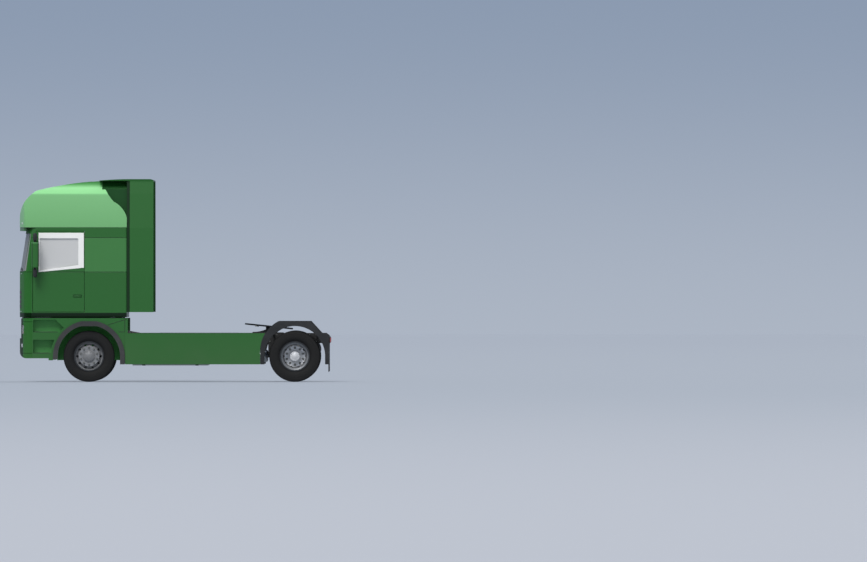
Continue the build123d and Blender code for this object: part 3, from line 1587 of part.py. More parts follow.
def rim_face(middle, out, disc_at):
    """Half section of a disc wheel: flanges, bead seats, well and a disc towards the out side."""
    half = rim_width / 2
    seat = bead_radius
    with BuildSketch() as section:
        with BuildLine():
            Polyline(
                (middle - half, seat + 14),
                (middle - half + 12, seat + 14),
                (middle - half + 16, seat),
                (middle - half + 60, seat - 4),
                (middle - half + 80, seat - 36),
                (middle + half - 80, seat - 36),
                (middle + half - 60, seat - 4),
                (middle + half - 16, seat),
                (middle + half - 12, seat + 14),
                (middle + half, seat + 14),
                (middle + half, seat - rim_wall),
                (middle + half - 60, seat - rim_wall - 5),
                (middle + half - 82, seat - 36 - rim_wall),
                (middle - half + 82, seat - 36 - rim_wall),
                (middle - half + 60, seat - rim_wall - 5),
                (middle - half, seat - rim_wall),
                close=True,
            )
        make_face()
        inner = seat - 36 - 2
        face = middle + out * disc_at
        start = middle + out * min(disc_at, half - 95)
        with BuildLine():
            Polyline(
                (start - out * 12, inner),
                (start + out * 2, inner),
                (face + out * 7, hub_flange_radius),
                (face + out * 7, spindle_radius + 30),
                (face - out * 7, spindle_radius + 30),
                (face - out * 7, hub_flange_radius - 4),
                close=True,
            )
        make_face()
    return section.sketch


def wheel_turned(section, x):
    """Solid of a section in Y and Z turned about the axle at x."""
    with BuildPart() as turned:
        with BuildSketch(cross_plane(x)):
            with Locations((0, tyre_radius)):
                add(section)
        revolve(axis=Axis((x, 0, tyre_radius), (0, 1, 0)))
    return turned.part


def hub_face(start, end, radius, bore):
    """Half section of a hub between two places on the axle."""
    low, high = min(start, end), max(start, end)
    with BuildSketch() as section:
        outline((low, bore), (low, radius), (high, radius), (high, bore))
    return section.sketch


hub_bore = spindle_radius + running_gap
for side, name in sides:
    middle = side * front_tyre_y
    with BuildPart() as tyre:
        add(wheel_turned(tyre_face(middle), front_axle_x))
    tyre.part.label = f"tyre_front_{name}"
    export_step(tyre.part, f"parts/tyre_front_{name}.step")

    with BuildPart() as rim:
        add(wheel_turned(rim_face(middle, side, 95), front_axle_x))
        add(wheel_turned(hub_face(middle - side * 60, middle + side * 118, hub_radius, hub_bore), front_axle_x))
        add(wheel_turned(hub_face(middle + side * 102, middle + side * 135, hub_radius, 0), front_axle_x))
        with Locations(Location((front_axle_x, middle + side * 60, tyre_radius), (90, 0, 0))):
            with PolarLocations(hand_hole_circle - 18, hand_hole_count):
                Cylinder(radius=hand_hole_radius, height=160, mode=Mode.SUBTRACT)
    rim.part.label = f"rim_front_{name}"
    export_step(rim.part, f"parts/rim_front_{name}.step")

    outer = side * rear_outer_y
    inner = side * rear_inner_y
    twin = side * rear_twin_y
    with BuildPart() as tyres:
        add(wheel_turned(tyre_face(outer), rear_axle_x))
        add(wheel_turned(tyre_face(inner), rear_axle_x))
    tyres.part.label = f"tyres_rear_{name}"
    export_step(tyres.part, f"parts/tyres_rear_{name}.step")

    disc_offset = (rear_outer_y - rear_inner_y) / 2 - 8
    with BuildPart() as rims:
        add(wheel_turned(rim_face(outer, -side, disc_offset), rear_axle_x))
        add(wheel_turned(rim_face(inner, side, disc_offset), rear_axle_x))
        drum_start = side * drum_start_y
        add(wheel_turned(hub_face(drum_start, twin, hub_radius, hub_bore), rear_axle_x))
        add(wheel_turned(hub_face(twin, outer, hub_radius, hub_bore), rear_axle_x))
        add(wheel_turned(hub_face(outer - side * 4, outer + side * 30, hub_radius, 0), rear_axle_x))
        with Locations(Location((rear_axle_x, twin, tyre_radius), (90, 0, 0))):
            with PolarLocations(hand_hole_circle - 20, hand_hole_count):
                Cylinder(radius=hand_hole_radius, height=200, mode=Mode.SUBTRACT)
    rims.part.label = f"rims_rear_{name}"
    export_step(rims.part, f"parts/rims_rear_{name}.step")
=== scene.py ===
"""Finishes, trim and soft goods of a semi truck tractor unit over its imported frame."""

import logging
import math
from dataclasses import dataclass, field
from enum import Enum
from typing import Any, Callable, ClassVar, Iterable, Mapping, Sequence

import bmesh
import bpy
from mathutils import Matrix, Vector
from mathutils.bvhtree import BVHTree


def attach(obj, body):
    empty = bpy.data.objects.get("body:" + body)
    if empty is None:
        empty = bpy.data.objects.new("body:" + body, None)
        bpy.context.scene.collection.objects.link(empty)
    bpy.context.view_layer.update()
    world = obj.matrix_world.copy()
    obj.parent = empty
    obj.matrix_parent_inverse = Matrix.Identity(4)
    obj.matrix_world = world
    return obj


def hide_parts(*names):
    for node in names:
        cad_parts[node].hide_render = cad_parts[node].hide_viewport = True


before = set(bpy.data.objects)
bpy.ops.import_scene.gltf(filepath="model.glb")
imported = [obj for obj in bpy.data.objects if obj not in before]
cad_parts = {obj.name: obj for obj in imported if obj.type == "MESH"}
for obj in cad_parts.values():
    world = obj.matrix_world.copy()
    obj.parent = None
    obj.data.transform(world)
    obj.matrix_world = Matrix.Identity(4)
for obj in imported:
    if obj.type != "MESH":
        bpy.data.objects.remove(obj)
LOG = logging.getLogger("tractor")

Point = tuple[float, float, float]
Spot = tuple[float, float]
Colour = tuple[float, float, float, float]
Caster = Callable[[float, float, float], Vector]
Box = tuple[Point, Point, float, int]

NOSE_X = -3.095
FRONT_AXLE = NOSE_X + 1.4
REAR_AXLE = NOSE_X + 5.48
AXLE_HEIGHT = 0.507
CAB_HALF = 1.245
BELT = 2.179
RAIL_HALF = 0.43
FROM_NOSE = Matrix.Translation((NOSE_X, 0, 0))


def behind(distance: float) -> float:
    """Return the place on X that lies a distance behind the nose."""
    return NOSE_X + distance


def span(low: float, high: float, count: int) -> list[float]:
    """Return evenly spaced numbers from low to high."""
    return [low + (high - low) * i / (count - 1) for i in range(count)]


def centred(middle: float, half: float, count: int) -> list[float]:
    """Return evenly spaced numbers round a middle."""
    return span(middle - half, middle + half, count)


def around(count: int, radius: float, start: float = 0.0) -> list[Spot]:
    """Return evenly spaced places on a circle, the first at an angle in radians."""
    angles = (start + 2 * math.pi * i / count for i in range(count))
    return [(radius * math.cos(a), radius * math.sin(a)) for a in angles]


def walked(corners: Sequence[Spot], steps: int) -> list[Spot]:
    """Return points along a closed outline, a number of steps to each side."""
    line = []
    for (ax, ay), (bx, by) in zip(corners, (*corners[1:], corners[0])):
        line += [(ax + (bx - ax) * s / steps, ay + (by - ay) * s / steps) for s in range(steps)]
    return line


def srgb(code: str) -> Colour:
    """Return the linear colour of a six digit hex code."""
    values = [int(code[i : i + 2], 16) / 255 for i in (0, 2, 4)]
    return (*(v / 12.92 if v <= 0.04045 else ((v + 0.055) / 1.055) ** 2.4 for v in values), 1.0)


def paler(code: str, gain: float, lift: float = 0.0) -> Colour:
    """Return a hex code's colour, brightened by a gain and a lift."""
    return (*(min(1.0, c * gain + lift) for c in srgb(code)[:3]), 1.0)


class Side(Enum):
    """The truck's two sides, by the sign of Y."""

    LEFT = -1
    RIGHT = 1

    @property
    def tag(self) -> str:
        """Return the word used in names."""
        return self.name.lower()


class Slot(Enum):
    """Material slots of the record; each new piece is handed one, which the script does not use."""

    PAINT = "cab_paint"
    CHASSIS = "chassis_paint"
    IRON = "axle_iron"
    TANK = "tank_metal"
    TRIM = "trim_plastic"
    RUBBER = "black_rubber"
    TYRE = "tyre_rubber"
    WHEEL = "wheel_steel"
    GLASS = "window_glass"
    LENS = "lamp_lens"
    RED = "red_lens"
    DASH = "dash_plastic"
    CLOTH = "seat_fabric"


def shader_operator(operation: str, swapped: bool = False) -> Callable[..., "Value"]:
    """Return a method that works self and another value out in a Math node, swapped if asked."""

    def method(value: "Value", other: Any = 0.0) -> "Value":
        """Add the Math node and return its result."""
        first, second = (other, value) if swapped else (value, other)
        return value.graph.node("ShaderNodeMath", {"operation": operation}, {0: first, 1: second})

    return method


class Value:
    """A shader socket that takes part in arithmetic like a number."""

    def __init__(self, graph: "Graph", socket: bpy.types.NodeSocket) -> None:
        """Wrap a socket of a graph."""
        self.graph = graph
        self.socket = socket

    __add__ = __radd__ = shader_operator("ADD")
    __sub__ = shader_operator("SUBTRACT")
    __rsub__ = shader_operator("SUBTRACT", swapped=True)
    __mul__ = __rmul__ = shader_operator("MULTIPLY")
    __gt__ = shader_operator("GREATER_THAN")
    __lt__ = shader_operator("LESS_THAN")
    __abs__ = shader_operator("ABSOLUTE")
    sine = shader_operator("SINE")
    root = shader_operator("SQRT")

    def fade(self, low: float, high: float) -> "Value":
        """Return a smooth step from 0 at low to 1 at high."""
        inputs = {"Value": self, "From Min": low, "From Max": high}
        return self.graph.node("ShaderNodeMapRange", {"interpolation_type": "SMOOTHSTEP"}, inputs)


class Graph:
    """The node tree of one material, read and grown through a few methods."""

    def __init__(self, tree: bpy.types.NodeTree) -> None:
        """Start from an empty tree."""
        tree.nodes.clear()
        self.tree = tree

    def node(
        self,
        kind: str,
        settings: Mapping[str, Any] | None = None,
        inputs: Mapping[str | int, Any] | None = None,
        output: str | int = 0,
    ) -> Value:
        """Add any node.

        Args:
            kind: Blender's type name of the node.
            settings: Properties set before the sockets; "stops" fills a colour ramp.
            inputs: Numbers, colours or values for sockets, by name or place.
            output: The output socket wanted.

        Returns:
            The wrapped output socket.
        """
        made = self.tree.nodes.new(kind)
        for name, setting in (settings or {}).items():
            if name == "stops":
                self._fill_ramp(made.color_ramp, setting)
            else:
                setattr(made, name, setting)
        for name, value in (inputs or {}).items():
            if isinstance(value, Value):
                self.tree.links.new(value.socket, made.inputs[name])
            else:
                made.inputs[name].default_value = value
        return Value(self, made.outputs[output])

    def end(self, kind: str, shader: Value) -> None:
        """Join a shader to a new output node."""
        output = self.tree.nodes.new(kind)
        self.tree.links.new(shader.socket, output.inputs["Surface"])

    @staticmethod
    def _fill_ramp(ramp: bpy.types.ColorRamp, stops: Sequence[tuple[float, Colour]]) -> None:
        """Set the stops of a colour ramp."""
        while len(ramp.elements) < len(stops):
            ramp.elements.new(0.5)
        for element, (place, colour) in zip(ramp.elements, stops):
            element.position, element.color = place, colour

    def spot(self) -> Value:
        """Return the surface's place in the piece's own frame."""
        return self.node("ShaderNodeTexCoord", output="Object")

    def axes(self, vector: Value) -> list[Value]:
        """Return X, Y and Z of a vector."""
        outputs = self.node("ShaderNodeSeparateXYZ", inputs={0: vector}).socket.node.outputs
        return [Value(self, outputs[axis]) for axis in "XYZ"]

    def place(self) -> list[Value]:
        """Return X, Y and Z of the surface in the piece's own frame."""
        return self.axes(self.spot())

    def radius(self, axle_x: float) -> Value:
        """Return the surface's distance from an axle's middle line."""
        x, _, z = self.place()
        across, upward = x - axle_x, z - AXLE_HEIGHT
        return (across * across + upward * upward).root()

    def noise(self, scale: float, detail: float = 2.0, roughness: float = 0.5) -> Value:
        """Return soft noise between 0 and 1 over the piece's own frame."""
        inputs = {"Vector": self.spot(), "Scale": scale, "Detail": detail, "Roughness": roughness}
        return self.node("ShaderNodeTexNoise", inputs=inputs)

    def mix(self, factor: Any, first: Any, second: Any) -> Value:
        """Return a colour between two, which are values, colours or hex codes."""
        ends = [srgb(end) if isinstance(end, str) else end for end in (first, second)]
        return self.node("ShaderNodeMix", {"data_type": "RGBA"}, {0: factor, 6: ends[0], 7: ends[1]}, 2)

    def bump(self, height: Value, distance: float, strength: float = 1.0, below: Value | None = None) -> Value:
        """Return a normal raised by a height, over another bump if given."""
        inputs: dict[str, Any] = {"Height": height, "Distance": distance, "Strength": strength}
        if below is not None:
            inputs["Normal"] = below
        return self.node("ShaderNodeBump", inputs=inputs)


@dataclass(frozen=True)
class Finish:
    """A procedural finish; each kind fills in how its colour and relief vary."""

    name: str
    colour: str = "808080"
    roughness: float = 0.5
    metallic: float = 0.0

    def shade(self, graph: Graph) -> dict[str, Any]:
        """Return the inputs of the principled shader."""
        mottle = graph.noise(6.0, 4.0)
        return {
            "Base Color": graph.mix(mottle * 0.6, self.colour, paler(self.colour, 1.25, 0.01)),
            "Roughness": mottle * 0.12 + (self.roughness - 0.06),
            "Metallic": self.metallic,
            "Normal": graph.bump(graph.noise(260.0, 3.0), 0.0006),
        }

    def material(self) -> bpy.types.Material:
        """Return the finish's material, made at its first use."""
        made = bpy.data.materials.get(self.name)
        if made is None:
            made = bpy.data.materials.new(self.name)
            made.use_nodes = True
            graph = Graph(made.node_tree)
            shader = graph.node("ShaderNodeBsdfPrincipled", inputs=self.shade(graph))
            graph.end("ShaderNodeOutputMaterial", shader)
        return made


@dataclass(frozen=True)
class Zone:
    """A box of the body in which the paint takes a lighter tone as painted light or a darker one as painted shade."""

    OPEN: ClassVar[float] = 9.0

    colour: str
    from_x: float = -OPEN
    to_x: float = OPEN
    from_z: float = -OPEN
    to_z: float = OPEN
    half: float = OPEN

    def mask(self, graph: Graph) -> Value:
        """Return 1 inside the box and 0 outside."""
        x, y, z = graph.place()
        inside = abs(y) < self.half
        for value, low, high in ((x, self.from_x, self.to_x), (z, self.from_z, self.to_z)):
            if low > -self.OPEN:
                inside = inside * (value > low)
            if high < self.OPEN:
                inside = inside * (value < high)
        return inside


@dataclass(frozen=True)
class BodyPaint(Finish):
    """Satin body paint whose tone steps with height and in boxes as painted light and shade, with dark seam lines,
    pressed crease lines darkened by painted shade, and a little road dust.
    """

    roughness: float = 0.42
    tones: tuple[tuple[float, str], ...] = ()
    light_and_shade_zones: tuple[Zone, ...] = ()
    creases: tuple[float, ...] = ()
    seams: tuple[float, ...] = ()
    shine: float = 0.3

    SPAN: ClassVar[float] = 4.2

    def shade(self, graph: Graph) -> dict[str, Any]:
        """Return the inputs of the principled shader."""
        x, _, z = graph.place()
        # Height tones, which hold painted light and shade where their tables give it.
        stops = [(min(1.0, height / self.SPAN), srgb(code)) for height, code in self.tones]
        colour = graph.node("ShaderNodeValToRGB", {"stops": stops}, {0: z * (1 / self.SPAN)})
        # Boxes of painted light and shade over the height tones.
        for zone in self.light_and_shade_zones:
            colour = graph.mix(zone.mask(graph), colour, zone.colour)
        patches = graph.noise(1.6, 4.0, 0.6)
        colour = graph.mix(patches * 0.06, colour, "12301a")
        dust = patches * 0.16 * (1 - z.fade(0.3, 1.3))
        colour = graph.mix(dust, colour, "6f7360")
        relief = graph.bump(graph.noise(900.0, 1.0), 0.00012, 0.5)
        # Seams get a dark joint line; crease lines get the same dark line as painted shade; both get a pressed
        # groove.
        for value, places in ((z, self.creases), (x, self.seams)):
            for place in places:
                line = 1 - abs(value - place).fade(0.002, 0.008)
                colour = graph.mix(line * 0.85, colour, "0b200c")
                relief = graph.bump(1 - line, 0.004, 0.8, relief)
        return {
            "Base Color": colour,
            "Roughness": dust * 0.4 + patches * 0.1 + (self.roughness - 0.05),
            "Specular IOR Level": self.shine,
            "Coat Weight": self.shine * 0.25,
            "Coat Roughness": 0.12,
            "Normal": relief,
        }


@dataclass(frozen=True)
class GrainedPlastic(Finish):
    """Moulded plastic with a fine leather grain and faded patches."""

    roughness: float = 0.6
    grain: float = 420.0
    depth: float = 0.0005

    def shade(self, graph: Graph) -> dict[str, Any]:
        """Return the inputs of the principled shader."""
        patches = graph.noise(3.0, 4.0, 0.6)
        inputs = {"Vector": graph.spot(), "Scale": self.grain}
        cells = graph.node("ShaderNodeTexVoronoi", inputs=inputs, output="Distance")
        faded = paler(self.colour, 1.35, 0.012)
        return {
            "Base Color": graph.mix(patches.fade(0.35, 0.75) * 0.7, self.colour, faded),
            "Roughness": patches * 0.15 + (self.roughness - 0.08),
            "Normal": graph.bump(cells, self.depth),
        }


@dataclass(frozen=True)
class ChassisCoat(Finish):
    """Sprayed chassis paint with settled dust on what faces up and a few rusty chips."""

    roughness: float = 0.55
    rust: float = 0.25

    def shade(self, graph: Graph) -> dict[str, Any]:
        """Return the inputs of the principled shader."""
        patches = graph.noise(5.0, 5.0, 0.65)
        _, _, up = graph.axes(graph.node("ShaderNodeNewGeometry", output="Normal"))
        dust = up.fade(0.3, 1.0) * patches.fade(0.3, 0.7) * 0.35
        chips = graph.noise(38.0, 6.0, 0.7).fade(0.66, 0.72) * self.rust
        colour = graph.mix(patches * 0.4, self.colour, paler(self.colour, 1.6))
        return {
            "Base Color": graph.mix(dust, graph.mix(chips, colour, "6b4430"), "857c6d"),
            "Roughness": dust * 0.4 + chips * 0.3 + self.roughness,
            "Metallic": self.metallic,
            "Normal": graph.bump(graph.noise(120.0, 3.0), 0.0008),
        }


@dataclass(frozen=True)
class WheelSilver(Finish):
    """Silver wheel paint, sprayed over steel, with brake dust towards the hub; past the disc a second tone, painted
    shade on the rear wheels, and a dark flange tone.
    """

    roughness: float = 0.42
    axle_x: float = 0.0
    disc: float = 0.268
    barrel: str = "8e8f91"
    flange: str = "313335"

    def shade(self, graph: Graph) -> dict[str, Any]:
        """Return the inputs of the principled shader."""
        radius = graph.radius(self.axle_x)
        # The second tone past the disc is painted shade on the rear wheels.
        barrel = graph.mix(radius.fade(self.disc, self.disc + 0.004), self.colour, self.barrel)
        silver = graph.mix(radius.fade(0.270, 0.274), barrel, self.flange)
        patches = graph.noise(14.0, 4.0, 0.6)
        dirt = (1 - radius.fade(0.10, 0.21)) * 0.25 + patches.fade(0.5, 0.8) * 0.25
        return {
            "Base Color": graph.mix(dirt, silver, "4d4a45"),
            "Roughness": dirt * 0.5 + self.roughness,
            "Metallic": 0.35,
            "Normal": graph.bump(graph.noise(500.0, 2.0), 0.0003),
        }


@dataclass(frozen=True)
class TyreRubber(Finish):
    """Black rubber with moulded rings on the wall, dust patches, and painted shade that darkens the shoulder and
    tread.
    """

    roughness: float = 0.75
    axle_x: float = 0.0

    def shade(self, graph: Graph) -> dict[str, Any]:
        """Return the inputs of the principled shader."""
        radius = graph.radius(self.axle_x)
        patches = graph.noise(9.0, 5.0, 0.65)
        # Painted shade: the shoulder and tread, which turn away from the side, go near black.
        tread = radius.fade(0.478, 0.5)
        rings = (radius * 1250.0).sine() * 0.5 + 0.5
        return {
            "Base Color": graph.mix(tread * 0.8, graph.mix(patches * 0.4, self.colour, "262421"), "080808"),
            "Roughness": patches * 0.15 + self.roughness,
            "Specular IOR Level": 0.35,
            "Normal": graph.bump(rings * (1 - tread), 0.0012, 0.6),
        }


@dataclass(frozen=True)
class Glazing(Finish):
    """Tinted glass: pale, glossy and half seen through."""

    roughness: float = 0.06
    opacity: float = 0.55
    gloss: float = 0.5

    def shade(self, graph: Graph) -> dict[str, Any]:
        """Return the inputs of the principled shader."""
        haze = graph.noise(2.2, 3.0)
        return {
            "Base Color": graph.mix(haze * 0.3, self.colour, "c6cacb"),
            "Roughness": haze * 0.06 + self.roughness,
            "Alpha": haze * 0.06 + self.opacity,
            "Specular IOR Level": self.gloss,
            "Normal": graph.bump(graph.noise(1.3, 1.0), 0.002, 0.3),
        }


@dataclass(frozen=True)
class RibbedLens(Finish):
    """Clear or coloured lamp lens with moulded ribs."""

    roughness: float = 0.12
    opacity: float = 1.0
    ribs: float = 700.0

    def shade(self, graph: Graph) -> dict[str, Any]:
        """Return the inputs of the principled shader."""
        _, y, z = graph.place()
        ribs = (y * self.ribs).sine() * 0.5 + (z * self.ribs).sine() * 0.5
        return {
            "Base Color": graph.mix(ribs * 0.3 + 0.3, self.colour, paler(self.colour, 1.3, 0.02)),
            "Roughness": ribs * 0.03 + self.roughness,
            "Alpha": self.opacity,
            "Coat Weight": 0.6,
            "Normal": graph.bump(ribs, 0.0015, 0.5),
        }


@dataclass(frozen=True)
class Cloth(Finish):
    """Woven seat cloth with crossing threads and a faint fleck."""

    roughness: float = 0.9
    thread: float = 1400.0
    accent: str = "3a3f46"

    def shade(self, graph: Graph) -> dict[str, Any]:
        """Return the inputs of the principled shader."""
        x, y, z = graph.place()
        slant = y * 0.7
        weave = ((x + slant) * self.thread).sine() * ((z + slant) * self.thread).sine()
        fleck = graph.noise(90.0, 3.0, 0.7).fade(0.5, 0.72)
        colour = graph.mix(fleck * 0.5, self.colour, self.accent)
        return {
            "Base Color": graph.mix(graph.noise(4.0, 3.0) * 0.3, colour, "4c4d50"),
            "Roughness": weave * 0.04 + self.roughness,
            "Sheen Weight": 0.25,
            "Normal": graph.bump(weave, 0.0009),
        }


@dataclass(frozen=True)
class Ground(Finish):
    """Plain studio floor, a little paler on one side and greyer on the other, far from the truck."""

    ends: tuple[str, str] = ("a8adb7", "949ca9")

    def shade(self, graph: Graph) -> dict[str, Any]:
        """Return the inputs of the principled shader."""
        _, y, _ = graph.place()
        pale = graph.mix(1 - y.fade(-190.0, -12.0), self.colour, self.ends[0])
        colour = graph.mix(y.fade(12.0, 250.0), pale, self.ends[1])
        return {
            "Base Color": graph.mix(0.5, colour, "000000"),
            "Emission Color": colour,
            "Emission Strength": 0.62,
            "Roughness": graph.noise(3.0) * 0.05 + self.roughness,
        }


@dataclass(frozen=True)
class TreadPlate(Finish):
    """Metal sheet with raised bars crossed in two directions."""

    roughness: float = 0.42
    metallic: float = 0.85
    pitch: float = 0.036

    def shade(self, graph: Graph) -> dict[str, Any]:
        """Return the inputs of the principled shader."""
        x, y, _ = graph.place()
        x, y = (value * (2 * math.pi / self.pitch) for value in (x, y))
        first = (x + y).sine().fade(0.25, 0.6) * (x * 0.5 - y * 0.5).sine().fade(0.1, 0.4)
        second = (x - y).sine().fade(0.25, 0.6) * (x * 0.5 + y * 0.5).sine().fade(0.1, 0.4)
        bars = first + second
        dirt = graph.noise(7.0, 5.0, 0.7).fade(0.4, 0.75) * (1 - bars * 0.7)
        return {
            "Base Color": graph.mix(dirt * 0.3, self.colour, "4c463d"),
            "Roughness": dirt * 0.35 + self.roughness,
            "Metallic": self.metallic,
            "Normal": graph.bump(bars, 0.003),
        }


@dataclass(frozen=True)
class BrushedMetal(Finish):
    """Drawn or turned metal with fine lines along one axis and a grease film."""

    roughness: float = 0.35
    metallic: float = 1.0
    grease: float = 0.0

    def shade(self, graph: Graph) -> dict[str, Any]:
        """Return the inputs of the principled shader."""
        drawn = graph.node("ShaderNodeMapping", inputs={"Vector": graph.spot(), "Scale": (3.0, 240.0, 240.0)})
        lines = graph.node("ShaderNodeTexNoise", inputs={"Vector": drawn, "Scale": 1.0, "Detail": 3.0})
        film = graph.noise(8.0, 4.0, 0.6).fade(0.1, 0.9) * self.grease
        return {
            "Base Color": graph.mix(film, self.colour, "15130f"),
            "Roughness": lines * 0.16 + film * -0.12 + self.roughness,
            "Metallic": self.metallic,
            "Normal": graph.bump(lines, 0.0004),
        }


GREEN = "2b662d"
# Cab tones up its height: painted shade on the chamfer at the cab's lower edge, the green body, painted light on the
# roof's sides, painted highlights above the roof crease and painted shade towards the crown.
CAB_LIT_TONES = (
    (1.283, "08260a"), (1.362, "08260a"), (1.366, GREEN), (3.052, GREEN), (3.056, "6fae71"),
    (3.700, "7dbd7f"), (3.738, "8fd992"), (3.850, "98e09a"), (3.920, "4f9a52"), (3.985, "1f6523"),
)
LOWER_TONES = ((0.3, "2a642c"), (1.3, GREEN))
# Mirror housing tones: painted shade at its bottom and top edges and a painted highlight band just under its top.
MIRROR_LIT_TONES = (
    (2.262, "131413"), (2.268, GREEN), (2.740, GREEN), (2.750, "63a466"), (2.768, "63a466"), (2.772, "131413"),
)
VISOR_SEAM = behind(0.139)
BUMPER_SEAM = behind(0.08)
# Boxes of painted light and shade: a lighter band above the belt behind the door, painted shade on the front corner
# below the belt, on the roof's neck, on the deflectors' front part and on the bumper's face, and painted light in the
# step recesses.
MID_BAND_LIGHT = Zone("3f7c41", from_x=behind(1.31), from_z=BELT, to_z=2.856)
VISOR_SHADE = Zone("1c5220", to_x=VISOR_SEAM, to_z=BELT)
ROOF_RECESS_SHADE = Zone("14491a", from_x=behind(1.66), half=1.045)
DEFLECTOR_SHADE = Zone("0a2f0c", to_x=behind(2.2085), to_z=3.978)
STEP_RECESS_LIGHT = Zone("4a9a4e", behind(0.29), behind(0.92), 0.57, 1.236, half=1.235)
BUMPER_FACE_SHADE = Zone("0a2c0d", to_x=behind(0.078))

# Body paints; their tone tables and boxes above carry painted light and shade, and their crease lines painted shade.
PAINT_CAB = BodyPaint(
    "cab_paint_body", tones=CAB_LIT_TONES, light_and_shade_zones=(MID_BAND_LIGHT, VISOR_SHADE), creases=(2.856, BELT), seams=(VISOR_SEAM,)
)
PAINT_FRONT = BodyPaint("cab_paint_front", roughness=0.6, tones=CAB_LIT_TONES, creases=(BELT,), shine=0.08)
PAINT_ROOF = BodyPaint("cab_paint_roof", tones=CAB_LIT_TONES, light_and_shade_zones=(ROOF_RECESS_SHADE,), creases=(3.058,))
# Deflector paint: painted shade darkens its top edge and, through its box, its front part.
PAINT_DEFLECTOR = BodyPaint(
    "cab_paint_deflector", tones=((1.3, GREEN), (3.95, GREEN), (3.99, "1b5a1e")), light_and_shade_zones=(DEFLECTOR_SHADE,)
)
PAINT_LOWER = BodyPaint("cab_paint_lower", tones=LOWER_TONES, light_and_shade_zones=(STEP_RECESS_LIGHT,))
# Arch liner green, painted far lighter than the body as painted light inside the arches.
PAINT_LINER_LIT = BodyPaint("cab_paint_liner_lit", roughness=0.6, tones=((0.3, "54a558"), (1.3, "5bb05f")), shine=0.1)
PAINT_BUMPER = BodyPaint(
    "cab_paint_bumper", roughness=0.6, tones=LOWER_TONES, light_and_shade_zones=(BUMPER_FACE_SHADE,), creases=(0.567, 1.19),
    seams=(BUMPER_SEAM,), shine=0.08,
)
PAINT_MIRROR = BodyPaint("cab_paint_mirror", tones=MIRROR_LIT_TONES, seams=(behind(0.285),))
PAINT_WHITE = BodyPaint("frame_white", roughness=0.3, tones=((0.0, "f4f4f2"), (5.0, "f4f4f2")))
CHASSIS = ChassisCoat("chassis_coat", "272727")
IRON = ChassisCoat("axle_coat", "1f1f1f", rust=0.5)
ENGINE = ChassisCoat("engine_casting", "4a4b4d", rust=0.15)
TRIM = GrainedPlastic("trim_grain", "303030")
GUARD = GrainedPlastic("guard_plastic", "191a1b")
DASH = GrainedPlastic("dash_grain", "26272a", grain=800.0)
PALE_DASH = GrainedPlastic("cab_lining", "8b8a85", grain=700.0)
RUBBER = GrainedPlastic("seal_rubber", "121212", roughness=0.7, grain=200.0, depth=0.0003)
TYRE_FRONT = TyreRubber("tyre_front", "161616", axle_x=FRONT_AXLE)
TYRE_REAR = TyreRubber("tyre_rear", "161616", axle_x=REAR_AXLE)
WHEEL_FRONT = WheelSilver("wheel_silver_front", "8e8f91", axle_x=FRONT_AXLE)
# Rear wheels: the disc painted near white as painted light in the deep dish, the part past it a darker painted shade.
WHEEL_REAR_LIT = WheelSilver("wheel_silver_rear_lit", "f0f1f3", axle_x=REAR_AXLE, disc=0.214, barrel="85878a")
SIDE_GLASS = Glazing("door_glass", "d6d6d6", opacity=0.84)
SCREEN_GLASS = Glazing("windscreen_glass", "646668", roughness=0.3, opacity=0.8, gloss=0.15)
PANE = Glazing("corner_pane", "6e7072", roughness=0.35, opacity=0.93, gloss=0.1)
LENS = RibbedLens("clear_lens", "dfe4e8", opacity=0.35)
RED_LENS = RibbedLens("red_lens", "8e0d0c")
AMBER_LENS = RibbedLens("amber_lens", "d06a0c")
WHITE_LENS = RibbedLens("white_lens", "d6d8da")
CHROME = BrushedMetal("bright_metal", "c9cccf", roughness=0.12)
TANK = BrushedMetal("tank_sheet", "a9acae", roughness=0.3)
ZINC = BrushedMetal("zinc_bolts", "8d8c86", roughness=0.4)
GREASED = BrushedMetal("greased_plate", "47474a", roughness=0.4, grease=0.8)
DECK = TreadPlate("tread_plate", "8f9193")
INSTRUMENT = Finish("instrument_face", "0c0e11", roughness=0.18)
SEAT = Cloth("seat_cloth", "24272c")
SEAT_SIDE = Cloth("seat_side_cloth", "17181b", accent="202226")
MATTRESS = Cloth("bunk_cloth", "5a5e66", accent="6e727a", thread=900.0)

NODE_FINISHES: dict[Finish, str] = {
    PAINT_CAB: "cab_sides cab_rear door_left door_right",
    PAINT_FRONT: "cab_front front_panel",
    PAINT_MIRROR: "mirror_left mirror_right",
    PAINT_ROOF: "cab_roof",
    PAINT_DEFLECTOR: "side_deflectors roof_deflector",
    PAINT_LOWER: "side_panels side_skirts",
    PAINT_LINER_LIT: "front_arch_liners",
    PAINT_BUMPER: "bumper",
    TRIM: "front_arch_trims lower_grille rear_lamps coupling_panel",
    GUARD: "rear_mudguards",
    CHASSIS: "frame_rails cross_members cab_mounts fifth_wheel_mount radiator rear_suspension",
    ENGINE: "engine",
    IRON: "front_axle front_springs rear_axle propeller_shaft knuckle_left knuckle_right tie_rod",
    RUBBER: "air_springs",
    GREASED: "fifth_wheel",
    TANK: "fuel_tanks air_tanks",
    DECK: "catwalk",
    PALE_DASH: "cab_floor",
    DASH: "dashboard steering_wheel",
    SEAT_SIDE: "seats bunk",
    SCREEN_GLASS: "windscreen",
    SIDE_GLASS: "door_glass_left door_glass_right",
    LENS: "headlamps",
    WHEEL_FRONT: "rim_front_left rim_front_right",
    WHEEL_REAR_LIT: "rims_rear_left rims_rear_right",
    TYRE_FRONT: "tyre_front_left tyre_front_right",
    TYRE_REAR: "tyres_rear_left tyres_rear_right",
}


